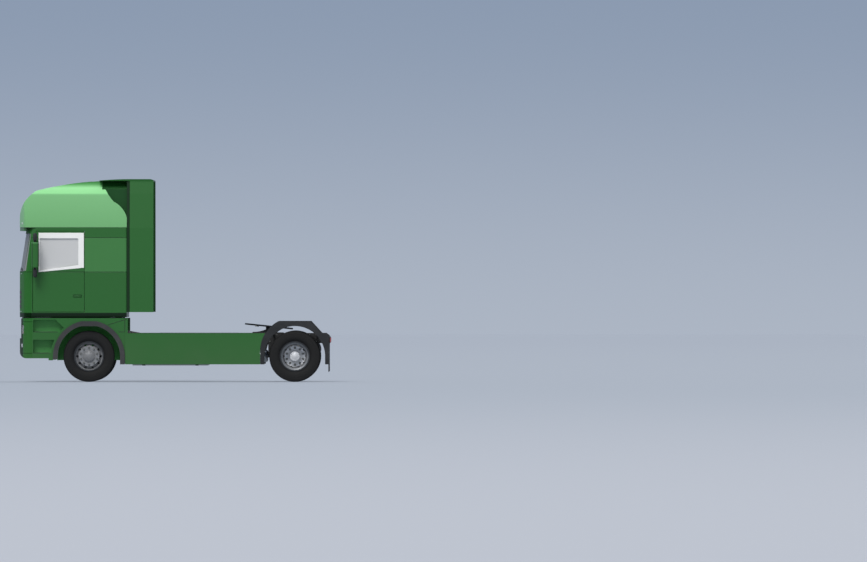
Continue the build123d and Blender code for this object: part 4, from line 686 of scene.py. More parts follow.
@dataclass
class Form:
    """Points and faces of a piece, gathered before it becomes an object."""

    points: list[Vector] = field(default_factory=list)
    faces: list[tuple[int, ...]] = field(default_factory=list)

    def grid(self, rows: Sequence[Sequence[Vector]], ring: bool = False, loop: bool = False) -> "Form":
        """Add a sheet of quads.

        Args:
            rows: Rows of points, all of one length.
            ring: Whether each row closes on itself.
            loop: Whether the last row joins the first.

        Returns:
            The form itself.
        """
        start, count, size = len(self.points), len(rows), len(rows[0])
        self.points.extend(Vector(p) for row in rows for p in row)
        for r in range(count if loop else count - 1):
            for c in range(size if ring else size - 1):
                near, far = start + r * size, start + (r + 1) % count * size
                beside = (c + 1) % size
                self.faces.append((near + c, near + beside, far + beside, far + c))
        return self

    def cap(self, points: Sequence[Vector]) -> "Form":
        """Add one flat face."""
        start = len(self.points)
        self.points.extend(Vector(p) for p in points)
        self.faces.append(tuple(range(start, start + len(points))))
        return self

    def turned(self, profile: Sequence[Spot], centre: Sequence[float], axis: str, steps: int = 48) -> "Form":
        """Add a form turned about an axis.

        Args:
            profile: Pairs of place along the axis and radius.
            centre: A point on the axis.
            axis: "X", "Y" or "Z".
            steps: Number of steps round.

        Returns:
            The form itself.
        """
        order = {"X": (0, 1, 2), "Y": (1, 0, 2), "Z": (1, 2, 0)}[axis]
        rows = [
            [Vector(centre) + Vector([(along, u, v)[i] for i in order]) for u, v in around(steps, radius)]
            for along, radius in profile
        ]
        return self.grid(rows, ring=True)

    def tube(self, path: Iterable[Sequence[float]], radius: float, sides: int = 12, closed: bool = False) -> "Form":
        """Add a round bar along a path of points."""
        line = [Vector(p) for p in path]
        rows = []
        up = Vector((0, 0, 1))
        for i, spot in enumerate(line):
            before = line[i - 1] if i or closed else spot
            after = line[(i + 1) % len(line)] if i < len(line) - 1 or closed else spot
            along = (after - before).normalized()
            if abs(along.dot(up)) > 0.95:
                up = Vector((1, 0, 0)) if abs(along.x) < 0.9 else Vector((0, 1, 0))
            first = along.cross(up).normalized()
            second = along.cross(first).normalized()
            rows.append([spot + u * first + v * second for u, v in around(sides, radius)])
        self.grid(rows, ring=True, loop=closed)
        return self if closed else self.cap(rows[0]).cap(rows[-1][::-1])

    def block(self, low: Point, high: Point, bevel: float = 0.004, segments: int = 2) -> "Form":
        """Add a box with rounded edges between two corners."""
        work = bmesh.new()
        bmesh.ops.create_cube(work, size=1.0)
        middle, size = (Vector(low) + Vector(high)) / 2, Vector(high) - Vector(low)
        for v in work.verts:
            v.co = v.co * size + middle
        return self._rounded(work, min(bevel, min(size) * 0.45), segments)

    def blocks(self, *boxes: Box) -> "Form":
        """Add boxes by their corners, bevel and segments."""
        for box in boxes:
            self.block(*box)
        return self

    def prism(self, outline: Sequence[Point], push: Point, bevel: float, segments: int = 2) -> "Form":
        """Add a solid with a flat outline pushed along a vector."""
        work = bmesh.new()
        face = work.faces.new([work.verts.new(Vector(p)) for p in outline])
        made = bmesh.ops.extrude_face_region(work, geom=[face])
        moved = [v for v in made["geom"] if isinstance(v, bmesh.types.BMVert)]
        bmesh.ops.translate(work, verts=moved, vec=Vector(push))
        bmesh.ops.recalc_face_normals(work, faces=work.faces[:])
        return self._rounded(work, bevel, segments)

    def _rounded(self, work: bmesh.types.BMesh, bevel: float, segments: int) -> "Form":
        """Round a bmesh's edges, add its points and faces, and free it."""
        bmesh.ops.bevel(work, geom=work.edges[:], offset=bevel, segments=segments, affect="EDGES", profile=0.5)
        start = len(self.points)
        work.verts.index_update()
        self.points.extend(v.co.copy() for v in work.verts)
        self.faces.extend(tuple(start + v.index for v in f.verts) for f in work.faces)
        work.free()
        return self

    def bolt(self, spot: Sequence[float], out: Point, size: float = 0.012) -> "Form":
        """Add a hexagon bolt head on its washer, pointing out."""
        turn = Vector((0, 0, 1)).rotation_difference(Vector(out)).to_matrix().to_4x4()
        place = Matrix.Translation(Vector(spot)) @ turn
        # Columns: height, radius, corners; the first two in bolt sizes.
        layers = ((0.0, 1.25, 24), (0.15, 1.25, 24), (0.15, 0.95, 6), (0.7, 0.95, 6), (0.85, 0.8, 6), (0.86, 0.02, 6))
        rows = [[place @ Vector((u, v, size * h)) for u, v in around(n, size * r)] for h, r, n in layers]
        for low, high in zip(rows, rows[1:]):
            if len(low) == len(high):
                self.grid([low, high], ring=True)
            else:
                self.cap(low)
        return self

    def pad(self, cast: Caster, us: Sequence[float], vs: Sequence[float], lift: float, rim: float = 0.0) -> "Form":
        """Add a thin plate or a shallow tray that follows a surface.

        Args:
            cast: Gives the surface's point at U and V for a lift.
            us: Places across.
            vs: Places along.
            lift: How far the face stands off the surface.
            rim: How far its edge does.

        Returns:
            The form itself.
        """
        across, along = [us[0], *us, us[-1]], [vs[0], *vs, vs[-1]]
        ends_u, ends_v = (0, len(across) - 1), (0, len(along) - 1)
        rows = [
            [cast(u, v, rim if i in ends_v or j in ends_u else lift) for j, u in enumerate(across)]
            for i, v in enumerate(along)
        ]
        return self.grid(rows)

    def moved(self, matrix: Matrix) -> "Form":
        """Return the form moved and turned by a matrix."""
        return Form([matrix @ p for p in self.points], list(self.faces))

    def joined(self, other: "Form") -> "Form":
        """Add another form's points and faces."""
        start = len(self.points)
        self.points += other.points
        self.faces += [tuple(start + i for i in f) for f in other.faces]
        return self

    def mirrored(self) -> "Form":
        """Return the same form on the truck's other side."""
        return Form([Vector((p.x, -p.y, p.z)) for p in self.points], [f[::-1] for f in self.faces])

    def both(self) -> "Form":
        """Return the form together with its mirror image."""
        return Form(list(self.points), list(self.faces)).joined(self.mirrored())

    def on(self, side: Side) -> "Form":
        """Return a form drawn on the right side, placed on a side."""
        return self if side is Side.RIGHT else self.mirrored()

    def object(self, name: str, sharp: float = 35.0) -> bpy.types.Object:
        """Return a new object with the form's mesh, smooth below an angle."""
        mesh = bpy.data.meshes.new(name)
        mesh.from_pydata([tuple(p) for p in self.points], [], self.faces)
        work = bmesh.new()
        work.from_mesh(mesh)
        bmesh.ops.remove_doubles(work, verts=work.verts[:], dist=0.00002)
        bmesh.ops.recalc_face_normals(work, faces=work.faces[:])
        work.to_mesh(mesh)
        work.free()
        mesh.shade_smooth()
        mesh.set_sharp_from_angle(angle=math.radians(sharp))
        return linked(bpy.data.objects.new(name, mesh))


def linked(made: bpy.types.Object) -> bpy.types.Object:
    """Put an object into the scene and return it."""
    bpy.context.scene.collection.objects.link(made)
    return made


def smoothed(made: bpy.types.Object) -> bpy.types.Object:
    """Shade every face of an object smooth and return it."""
    made.data.polygons.foreach_set("use_smooth", [True] * len(made.data.polygons))
    return made


class Skin:
    """The outer surface of a CAD node, for laying trim on it."""

    FAR = 6.0

    def __init__(self, node: str) -> None:
        """Gather the node's faces."""
        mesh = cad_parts[node].data
        faces = [tuple(p.vertices) for p in mesh.polygons]
        self.tree = BVHTree.FromPolygons([v.co.copy() for v in mesh.vertices], faces)

    def _cast(self, start: Point, way: Point, lift: float) -> Vector:
        """Return the first hit along a way, lifted off the surface."""
        hit, _, _, _ = self.tree.ray_cast(Vector(start), Vector(way))
        if hit is None:
            raise ValueError(f"no surface from {start}")
        return hit - Vector(way) * lift

    def front(self, y: float, z: float, lift: float = 0.0) -> Vector:
        """Return the point seen from the front at Y and Z."""
        return self._cast((-self.FAR, y, z), (1, 0, 0), lift)

    def side(self, x: float, z: float, side: Side, lift: float = 0.0) -> Vector:
        """Return the point seen from a side at X and Z."""
        return self._cast((x, side.value * self.FAR, z), (0, -side.value, 0), lift)

    def rear(self, y: float, z: float, lift: float = 0.0) -> Vector:
        """Return the point seen from behind at Y and Z."""
        return self._cast((self.FAR, y, z), (-1, 0, 0), lift)

    def top(self, x: float, y: float, lift: float = 0.0) -> Vector:
        """Return the point seen from above at X and Y."""
        return self._cast((x, y, self.FAR), (0, 0, -1), lift)


class Assembly:
    """A group of pieces that ride on one body of the truck."""

    body: str = "chassis"

    def place(
        self,
        name: str,
        form: Form,
        finish: Finish,
        slot: Slot,
        body: str | None = None,
        sharp: float = 35.0,
        replaces: Iterable[str] = (),
    ) -> None:
        """Make a piece, dress it and let it ride.

        Args:
            name: Name of the piece.
            form: Its points and faces.
            finish: Its finish.
            slot: The record's slot it belongs to; not used.
            body: The body it rides on, the assembly's own by default.
            sharp: Angle in degrees above which an edge stays sharp.
            replaces: CAD nodes it stands for.
        """
        made = form.object(name, sharp)
        self.dress(made, finish, slot, body)
        if replaces:
            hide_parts(*replaces)

    def dress(self, made: bpy.types.Object, finish: Finish, slot: Slot, body: str | None = None) -> None:
        """Give an object its finish and body, and report it."""
        made.data.materials.clear()
        made.data.materials.append(finish.material())
        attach(made, body or self.body)
        LOG.info("%s: %d faces on %s", made.name, len(made.data.polygons), body or self.body)


@dataclass
class Studio:
    """Plain pale floor, soft light and the long lens that takes the side view."""

    scale: float = 0.0199
    width_px: int = 867
    centre: Point = (5.134, 0.0, 2.0)
    distance: float = 300.0
    backdrop: tuple[str, str] = ("adb6c4", "8b9ab0")
    floor_half: float = 260.0
    # Columns: name, way it comes from, strength, angle in degrees.
    suns: tuple[tuple[str, Point, float, float], ...] = (
        ("key", (-0.35, -1.0, 1.25), 2.1, 28.0),
        ("fill", (1.0, 0.9, 0.8), 0.8, 40.0),
        ("nose", (-1.0, 0.25, 0.5), 0.35, 40.0),
    )

    def build(self) -> None:
        """Make the world, the floor, the lights and the camera."""
        bpy.context.scene.view_settings.view_transform = "Standard"
        self._world()
        self._floor()
        self._lights()
        self._camera()

    def _world(self) -> None:
        """Light softly from all round, and show the backdrop to camera, gloss and glass."""
        world = bpy.data.worlds.new("studio")
        world.use_nodes = True
        bpy.context.scene.world = world
        graph = Graph(world.node_tree)
        path = graph.node("ShaderNodeLightPath", output="Is Camera Ray")
        outputs = path.socket.node.outputs
        shown = path + Value(graph, outputs["Is Glossy Ray"]) + Value(graph, outputs["Is Transmission Ray"])
        light = graph.node("ShaderNodeBackground", inputs={"Color": (1.0, 1.0, 1.0, 1.0), "Strength": 0.55})
        _, _, up = graph.axes(graph.node("ShaderNodeTexCoord", output="Generated"))
        sky = graph.mix(up.fade(-0.006, 0.021), *self.backdrop)
        drop = graph.node("ShaderNodeBackground", inputs={"Color": sky, "Strength": 1.0})
        both = graph.node("ShaderNodeMixShader", inputs={0: shown > 0.5, 1: light, 2: drop})
        graph.end("ShaderNodeOutputWorld", both)

    def _floor(self) -> None:
        """Lay the floor just under the tyres."""
        corners = ((-1, -1, 0), (1, -1, 0), (1, 1, 0), (-1, 1, 0))
        floor = Form().cap([Vector(c) * self.floor_half for c in corners]).object("floor")
        floor.location.z = -0.001
        floor.data.materials.append(Ground("floor_grey", "979fab", roughness=0.9).material())

    def _lights(self) -> None:
        """Hang a high key light, a low fill and a light from the front."""
        for name, way, strength, spread in self.suns:
            data = bpy.data.lights.new(name, "SUN")
            data.energy, data.angle = strength, math.radians(spread)
            lamp = linked(bpy.data.objects.new(name, data))
            lamp.rotation_mode = "QUATERNION"
            lamp.rotation_quaternion = Vector(way).to_track_quat("Z", "Y")

    def _camera(self) -> None:
        """Set the side view far off, so that the picture is nearly without perspective."""
        data = bpy.data.cameras.new("camera")
        data.sensor_width = 36.0
        data.lens = data.sensor_width * self.distance / (self.scale * self.width_px)
        data.clip_start, data.clip_end = 10.0, 900.0
        camera = linked(bpy.data.objects.new("camera", data))
        camera.location = (self.centre[0], self.centre[1] - self.distance, self.centre[2])
        camera.rotation_euler = (math.pi / 2, 0, 0)
        bpy.context.scene.camera = camera


class Tread(Enum):
    """Tread patterns, by the number of pitches round the tyre and whether they have cross grooves."""

    RIBS = (1, False)
    BLOCKS = (56, True)


@dataclass
class Tyre:
    """A radial tyre with its beads, walls and moulded tread."""

    middle: float
    axle_x: float
    tread: Tread
    radius: float = 0.507
    half: float = 0.1575
    bead: float = 0.2863
    groove_depth: float = 0.013
    steps: int = 144

    def _wall(self) -> list[Spot]:
        """Return the outer wall from the bead to the shoulder."""
        half, bead, r = self.half, self.bead, self.radius
        return [
            (0.063, bead), (0.108, bead), (0.110, bead + 0.008), (0.112, bead + 0.017), (0.122, bead + 0.026),
            (0.131, bead + 0.036), (0.1385, bead + 0.047), (0.1455, bead + 0.058), (half - 0.0075, bead + 0.070),
            (half - 0.003, bead + 0.087), (half - 0.0005, bead + 0.105), (half, r - 0.100), (half - 0.001, r - 0.084),
            (half - 0.0035, r - 0.068), (half - 0.0015, r - 0.064), (half - 0.0030, r - 0.058),
            (half - 0.0065, r - 0.040), (half - 0.0105, r - 0.022), (half - 0.0160, r - 0.009),
        ]

    def _tread(self) -> list[Point]:
        """Return the tread from shoulder to shoulder: place, radius and how deep cross grooves cut."""
        edge, r, chamfer = self.half - 0.0245, self.radius, 0.002
        ribs = [(-edge, -0.086), (-0.074, -0.031), (-0.019, 0.019), (0.031, 0.074), (0.086, edge)]
        rows: list[Point] = []
        for i, ((low, high), depth) in enumerate(zip(ribs, (1.0, 0.75, 0.0, 0.75, 1.0))):
            crown, floor = r - 0.0008, r - self.groove_depth
            rows += [(low, crown, depth), (low + chamfer, r, depth), (high - chamfer, r, depth), (high, crown, depth)]
            if i < len(ribs) - 1:
                rows += [(high + chamfer, floor, 0.0), (ribs[i + 1][0] - chamfer, floor, 0.0)]
        return rows

    def _angles(self) -> list[Spot]:
        """Return the angles round the tyre with 1 on a block and 0 in a cross groove."""
        pitches, crossed = self.tread.value
        if not crossed:
            return [(2 * math.pi * i / self.steps, 1.0) for i in range(self.steps)]
        shares = ((0.0, 1.0), (0.38, 1.0), (0.74, 1.0), (0.78, 0.0), (0.96, 0.0))
        return [(2 * math.pi * (p + share) / pitches, raised) for p in range(pitches) for share, raised in shares]

    def form(self) -> Form:
        """Return the whole tyre as one closed ring of quads."""
        wall = [(y, r, 0.0) for y, r in self._wall()]
        section = [(-y, r, d) for y, r, d in wall] + self._tread() + wall[::-1]
        rows = []
        for angle, raised in self._angles():
            sine, cosine = math.sin(angle), math.cos(angle)
            cut = (1 - raised) * self.groove_depth
            ring = [(r - cut * depth, self.middle + y) for y, r, depth in section]
            rows.append([Vector((self.axle_x + r * sine, y, AXLE_HEIGHT + r * cosine)) for r, y in ring])
        return Form().grid(rows, ring=True, loop=True)


@dataclass
class Wheels(Assembly):
    """Tyres, nuts and caps of the four wheel bodies."""

    front_tyre: float = 1.0255
    rear_outer: float = 1.0855
    rear_inner: float = 0.7355
    # How far faces stand out from the tyres' middles: front hub, twin discs, rear hub.
    front_face: float = 0.102
    disc_face: float = 0.0155
    rear_face: float = 0.030
    nut_circle: float = 0.1675
    nut_count: int = 10
    nut_size: float = 0.019

    def build(self) -> None:
        """Make every wheel's pieces."""
        for side in Side:
            self._front(side)
            self._rear(side)

    def _front(self, side: Side) -> None:
        """Dress one steered wheel."""
        tag, body = side.tag, f"front_wheel_{side.tag}"
        tyre = Tyre(side.value * self.front_tyre, FRONT_AXLE, Tread.RIBS)
        self.place(f"tyre_{tag}", tyre.form(), TYRE_FRONT, Slot.TYRE, body, 30, [f"tyre_front_{tag}"])
        face = self.front_tyre + self.front_face
        rim = [
            (-0.004, 0.203), (0.004, 0.203), (0.010, 0.198), (0.010, 0.124), (0.016, 0.118), (0.024, 0.112),
            (0.024, 0.094),
        ]
        dome = [
            (0.020, 0.0962), (0.036, 0.0962), (0.039, 0.092), (0.040, 0.070), (0.046, 0.060), (0.050, 0.030),
            (0.051, 0.001),
        ]
        ring = self._turned(rim, FRONT_AXLE, face, 72)
        cap = self._turned(dome, FRONT_AXLE, face, 48)
        self._bolted(cap, FRONT_AXLE, face + 0.038, around(8, 0.082, math.radians(22.5)), 0.008)
        self.place(f"hub_ring_{tag}", ring.on(side), WHEEL_FRONT, Slot.WHEEL, body)
        self.place(f"hub_cap_{tag}", cap.on(side), WHEEL_FRONT, Slot.WHEEL, body)
        nuts = self._nuts(FRONT_AXLE, face + 0.010)
        self.place(f"wheel_nuts_front_{tag}", nuts.on(side), ZINC, Slot.WHEEL, body)

    def _rear(self, side: Side) -> None:
        """Dress one pair of twin wheels."""
        tag, body = side.tag, f"rear_wheels_{side.tag}"
        pair = Form()
        for middle in (self.rear_outer, self.rear_inner):
            pair.joined(Tyre(side.value * middle, REAR_AXLE, Tread.BLOCKS).form())
        self.place(f"twin_tyres_{tag}", pair, TYRE_REAR, Slot.TYRE, body, 30, [f"tyres_rear_{tag}"])
        nuts = self._nuts(REAR_AXLE, (self.rear_outer + self.rear_inner) / 2 + self.disc_face)
        self.place(f"wheel_nuts_rear_{tag}", nuts.on(side), ZINC, Slot.WHEEL, body)
        end = self.rear_outer + self.rear_face
        hub = [(-0.03, 0.0962), (-0.006, 0.0962), (0.002, 0.090), (0.004, 0.062), (0.010, 0.052), (0.012, 0.001)]
        cap = self._turned(hub, REAR_AXLE, end, 48)
        self._bolted(cap, REAR_AXLE, end + 0.001, around(10, 0.078), 0.009)
        self.place(f"axle_flange_{tag}", cap.on(side), WHEEL_REAR_LIT, Slot.WHEEL, body)

    def _nuts(self, axle_x: float, face: float) -> Form:
        """Return a circle of wheel nuts with their stud ends."""
        stud = [(0.012, 0.0105), (0.026, 0.0105), (0.028, 0.009), (0.028, 0.0002)]
        circle, nuts = around(self.nut_count, self.nut_circle, math.pi / self.nut_count), Form()
        for dx, dz in circle:
            self._bolted(nuts, axle_x, face - 0.001, [(dx, dz)], self.nut_size)
            nuts.joined(self._turned(stud, axle_x, face, 12).moved(Matrix.Translation((dx, 0, dz))))
        return nuts

    @staticmethod
    def _turned(profile: Sequence[Spot], axle_x: float, face: float, steps: int) -> Form:
        """Return a part turned about an axle, with its profile measured from a face."""
        return Form().turned([(face + out, r) for out, r in profile], (axle_x, 0, AXLE_HEIGHT), "Y", steps)

    @staticmethod
    def _bolted(form: Form, axle_x: float, face: float, spots: Iterable[Spot], size: float) -> None:
        """Add bolts at places measured from an axle."""
        for dx, dz in spots:
            form.bolt((axle_x + dx, face, AXLE_HEIGHT + dz), (0, 1, 0), size)


@dataclass
class CabTrim(Assembly):
    """Windscreen seal and corner panes, wipers, marker lamps and roof hatch."""

    screen: tuple[Spot, ...] = ((-1.153, 2.192), (-1.133, 2.943), (1.133, 2.943), (1.153, 2.192))
    pane_z: Spot = (2.204, 2.930)
    pane_y: float = 1.160
    pane_width: float = 0.046
    pane_taper: float = 0.052
    wiper_pivots: tuple[float, ...] = (-0.86, 0.06)
    wiper_z: float = 2.218
    # Columns: start from the pivot and run on Y, start and rise on Z, lift, arch, points, radius.
    wiper_rods: tuple[tuple[float, float, float, float, float, float, int, float], ...] = (
        (0.0, 0.40, 2.218, 0.034, 0.006, 0.004, 9, 0.005),
        (0.01, 0.80, 2.250, 0.010, 0.004, 0.0, 17, 0.0035),
        (0.16, 0.50, 2.252, 0.008, 0.004, 0.005, 13, 0.003),
    )
    marker_y: Spot = (0.88, -0.98)
    marker_z: Spot = (3.128, 3.160)
    marker_width: float = 0.10
    hatch_x: Spot = (behind(0.92), behind(1.44))
    hatch_half: float = 0.28
    hatch_gap: float = 0.006

    body = "cab"

    def build(self) -> None:
        """Make the cab's outer trim."""
        wall, roof = Skin("cab_front"), Skin("cab_roof")
        self._seal("windscreen_seal", wall.front, self.screen, 30, -0.003, 0.005)
        self.place("wipers", self._wipers(), RUBBER, Slot.RUBBER, sharp=50)
        lamps = Form()
        for y in self.marker_y:
            lamps.pad(roof.front, span(y, y + self.marker_width, 8), span(*self.marker_z, 4), 0.005, -0.002)
        self.place("marker_lamps", lamps, WHITE_LENS, Slot.LENS)
        hatch = Form().pad(roof.top, span(*self.hatch_x, 14), centred(0, self.hatch_half, 14), 0.008, -0.004)
        self.place("roof_hatch", hatch, PAINT_ROOF, Slot.PAINT)
        panes = Form()
        for side in Side:
            panes.pad(self._corner(wall, side), span(0, 1, 8), span(*self.pane_z, 16), 0.0025, -0.003)
        self.place("corner_panes", panes, PANE, Slot.GLASS)
        gap, (x0, x1) = self.hatch_gap, self.hatch_x
        half = self.hatch_half + gap
        corners = ((x0 - gap, -half), (x1 + gap, -half), (x1 + gap, half), (x0 - gap, half))
        self._seal("hatch_seal", roof.top, corners, 14, 0.0, 0.004)

    def _seal(self, name: str, cast: Caster, corners: Sequence[Spot], steps: int, lift: float, radius: float) -> None:
        """Lay a round rubber strip along an outline on a surface."""
        path = [cast(a, b, lift) for a, b in walked(corners, steps)]
        self.place(name, Form().tube(path, radius, 8, closed=True), RUBBER, Slot.RUBBER)

    def _corner(self, wall: Skin, side: Side) -> Caster:
        """Return a caster for the pane that carries the windscreen round a corner."""

        def cast(share: float, z: float, lift: float) -> Vector:
            """Return the point at a share of the pane's width, which shrinks upwards."""
            y = self.pane_y + share * (self.pane_width - self.pane_taper * (z - self.pane_z[0]))
            return wall.front(side.value * y, z, lift)

        return cast

    def _wipers(self) -> Form:
        """Return both wipers, parked along the foot of the windscreen."""
        glass, wipers = Skin("windscreen"), Form()
        for pivot in self.wiper_pivots:
            for start, run, low, rise, lift, arch, count, radius in self.wiper_rods:
                shares = span(0, 1, count)
                path = [
                    glass.front(pivot + start + run * t, low + rise * t, lift + arch * math.sin(math.pi * t))
                    for t in shares
                ]
                wipers.tube(path, radius, 8)
            foot = glass.front(pivot, self.wiper_z)
            wipers.turned([(0.0, 0.013), (-0.008, 0.013), (-0.011, 0.010), (-0.012, 0.001)], foot, "X", 20)
        return wipers


@dataclass
class NosePanel(Assembly):
    """Dark louvres of the service panel in the nose."""

    bars: tuple[Spot, ...] = ((1.462, 1.530), (1.556, 1.624), (1.650, 1.718), (1.744, 1.812))
    inner: float = 0.20
    outer: float = 0.80

    body = "front_panel"

    def build(self) -> None:
        """Make the louvres on both halves of the panel."""
        skin, bars, slats = Skin("front_panel"), Form(), Form()
        for low, high in self.bars:
            for way in (1, -1):
                us = [way * u for u in span(self.inner, self.outer, 18)]
                inset = [u * 0.985 + way * 0.008 for u in us]
                bars.pad(skin.front, us, [low, low + 0.006, high - 0.006, high], 0.002, -0.001)
                for share in (0.2, 0.5, 0.8):
                    z = low + (high - low) * share
                    slats.pad(skin.front, inset, [z - 0.005, z - 0.001, z + 0.005], 0.0028, 0.001)
        self.place("nose_louvres", bars, TRIM, Slot.TRIM)
        self.place("nose_louvre_bars", slats, RUBBER, Slot.TRIM)


@dataclass
class Doors(Assembly):
    """Window frames, handles, linings and mirror glass of the two doors, drawn from the nose on the right."""

    outer: tuple[Spot, ...] = ((0.402, 2.176), (0.402, 2.955), (1.300, 2.955), (1.300, 2.262))
    inner: tuple[Spot, ...] = ((0.4255, 2.2105), (0.4255, 2.8455), (1.1895, 2.8455), (1.1895, 2.3175))
    steps: int = 10
    side_lean: float = 0.03 / 0.876
    handle_x: Spot = (1.100, 1.252)
    handle_z: Spot = (1.6875, 1.7125)
    mirror_x: float = 0.408
    bezel: tuple[Spot, ...] = ((1.380, 2.288), (1.530, 2.288), (1.530, 2.747), (1.380, 2.747))

    def build(self) -> None:
        """Make both doors' pieces."""
        for side in Side:
            for name, form, finish, slot in (
                ("window_frame", self._frame(), PAINT_WHITE, Slot.TRIM),
                ("handle", self._handle(), PAINT_CAB, Slot.PAINT),
                ("mirror_arm_covers", self._covers(), GUARD, Slot.TRIM),
                ("door_lining", self._lining(), DASH, Slot.DASH),
                ("door_pulls", self._pulls(), TRIM, Slot.TRIM),
                ("mirror_glass", self._mirror(), CHROME, Slot.GLASS),
                ("mirror_bezel", self._bezel(), TRIM, Slot.TRIM),
            ):
                placed = form.moved(FROM_NOSE).on(side)
                self.place(f"{name}_{side.tag}", placed, finish, slot, f"door_{side.tag}")

    def _frame(self) -> Form:
        """Return the pale ring round the window."""
        outer, inner = walked(self.outer, self.steps), walked(self.inner, self.steps)
        eased = [(x + (0.003 if x < 0.8 else -0.003), z + (0.003 if z < 2.5 else -0.003)) for x, z in outer]
        layers = ((outer, -0.002), (outer, 0.004), (eased, 0.007), (inner, 0.007), (inner, 0.002), (inner, -0.020))
        rows = [
            [Vector((x, CAB_HALF - max(0.0, z - BELT) * self.side_lean + lift, z)) for x, z in ring]
            for ring, lift in layers
        ]
        return Form().grid(rows, ring=True)

    def _handle(self) -> Form:
        """Return the pull bar in its recess, with the lock beside it."""
        (x0, x1), (z0, z1) = self.handle_x, self.handle_z
        form = Form().block((x0, 1.2335, z0), (x1, 1.2435, z1), 0.0045, 3)
        for x in (x0 + 0.012, x1 - 0.012):
            form.block((x - 0.010, 1.224, z0 + 0.004), (x + 0.010, 1.236, z1 - 0.004), 0.002)
        lock = [(1.244, 0.013), (1.2462, 0.013), (1.247, 0.011), (1.247, 0.004), (1.2455, 0.003), (1.2455, 0.0005)]
        return form.turned(lock, (x0 - 0.040, 0, 1.70), "Y", 24)

    def _covers(self) -> Form:
        """Return the moulded covers over both mirror arms."""
        return Form().blocks(
            ((0.300, 1.312, 2.790), (0.376, 1.500, 2.950), 0.028, 4),
            ((0.300, 1.312, 2.070), (0.376, 1.500, 2.246), 0.028, 4),
        )

    def _lining(self) -> Form:
        """Return the moulded lining under the window with its bin and armrest."""
        return Form().blocks(
            ((0.36, 1.171, 1.415), (1.262, 1.1835, 2.150), 0.005, 3),
            ((0.62, 1.120, 1.455), (1.20, 1.172, 1.600), 0.014, 3),
            ((0.62, 1.098, 1.795), (1.16, 1.172, 1.845), 0.018, 4),
        )

    def _pulls(self) -> Form:
        """Return the inner pull, the release lever and the speaker ring."""
        pull = [
            (0.70, 1.170, 1.90), (0.70, 1.135, 1.905), (0.72, 1.128, 1.92), (0.86, 1.128, 2.02),
            (0.88, 1.135, 2.035), (0.88, 1.170, 2.04),
        ]
        form = Form().tube(pull, 0.011).block((1.02, 1.158, 1.955), (1.10, 1.172, 1.985))
        cone = [(1.172, 0.072), (1.167, 0.072), (1.1655, 0.068), (1.167, 0.062), (1.170, 0.020), (1.168, 0.001)]
        return form.turned(cone, (0.50, 0, 1.56), "Y", 40)

    def _mirror(self) -> Form:
        """Return the tall glass and the wide-angle glass on the housing's back."""
        x0, x1 = self.mirror_x - 0.002, self.mirror_x + 0.0025
        return Form().blocks(
            ((x0, 1.388, 2.440), (x1, 1.522, 2.735), 0.001, 1), ((x0, 1.388, 2.300), (x1, 1.522, 2.415), 0.001, 1)
        )

    def _bezel(self) -> Form:
        """Return the dark ring that holds both glasses, with the bar between them."""
        x, (y0, z0) = self.mirror_x, (1.455, 2.5175)
        rows = [
            [Vector((x + dx, y0 + (y - y0) * share, z0 + (z - z0) * share)) for y, z in walked(self.bezel, 8)]
            for dx, share in ((-0.002, 1.0), (0.005, 0.995), (0.005, 0.965), (-0.001, 0.960))
        ]
        return Form().grid(rows, ring=True).block((x - 0.002, 1.384, 2.419), (x + 0.005, 1.526, 2.436), 0.0015, 1)


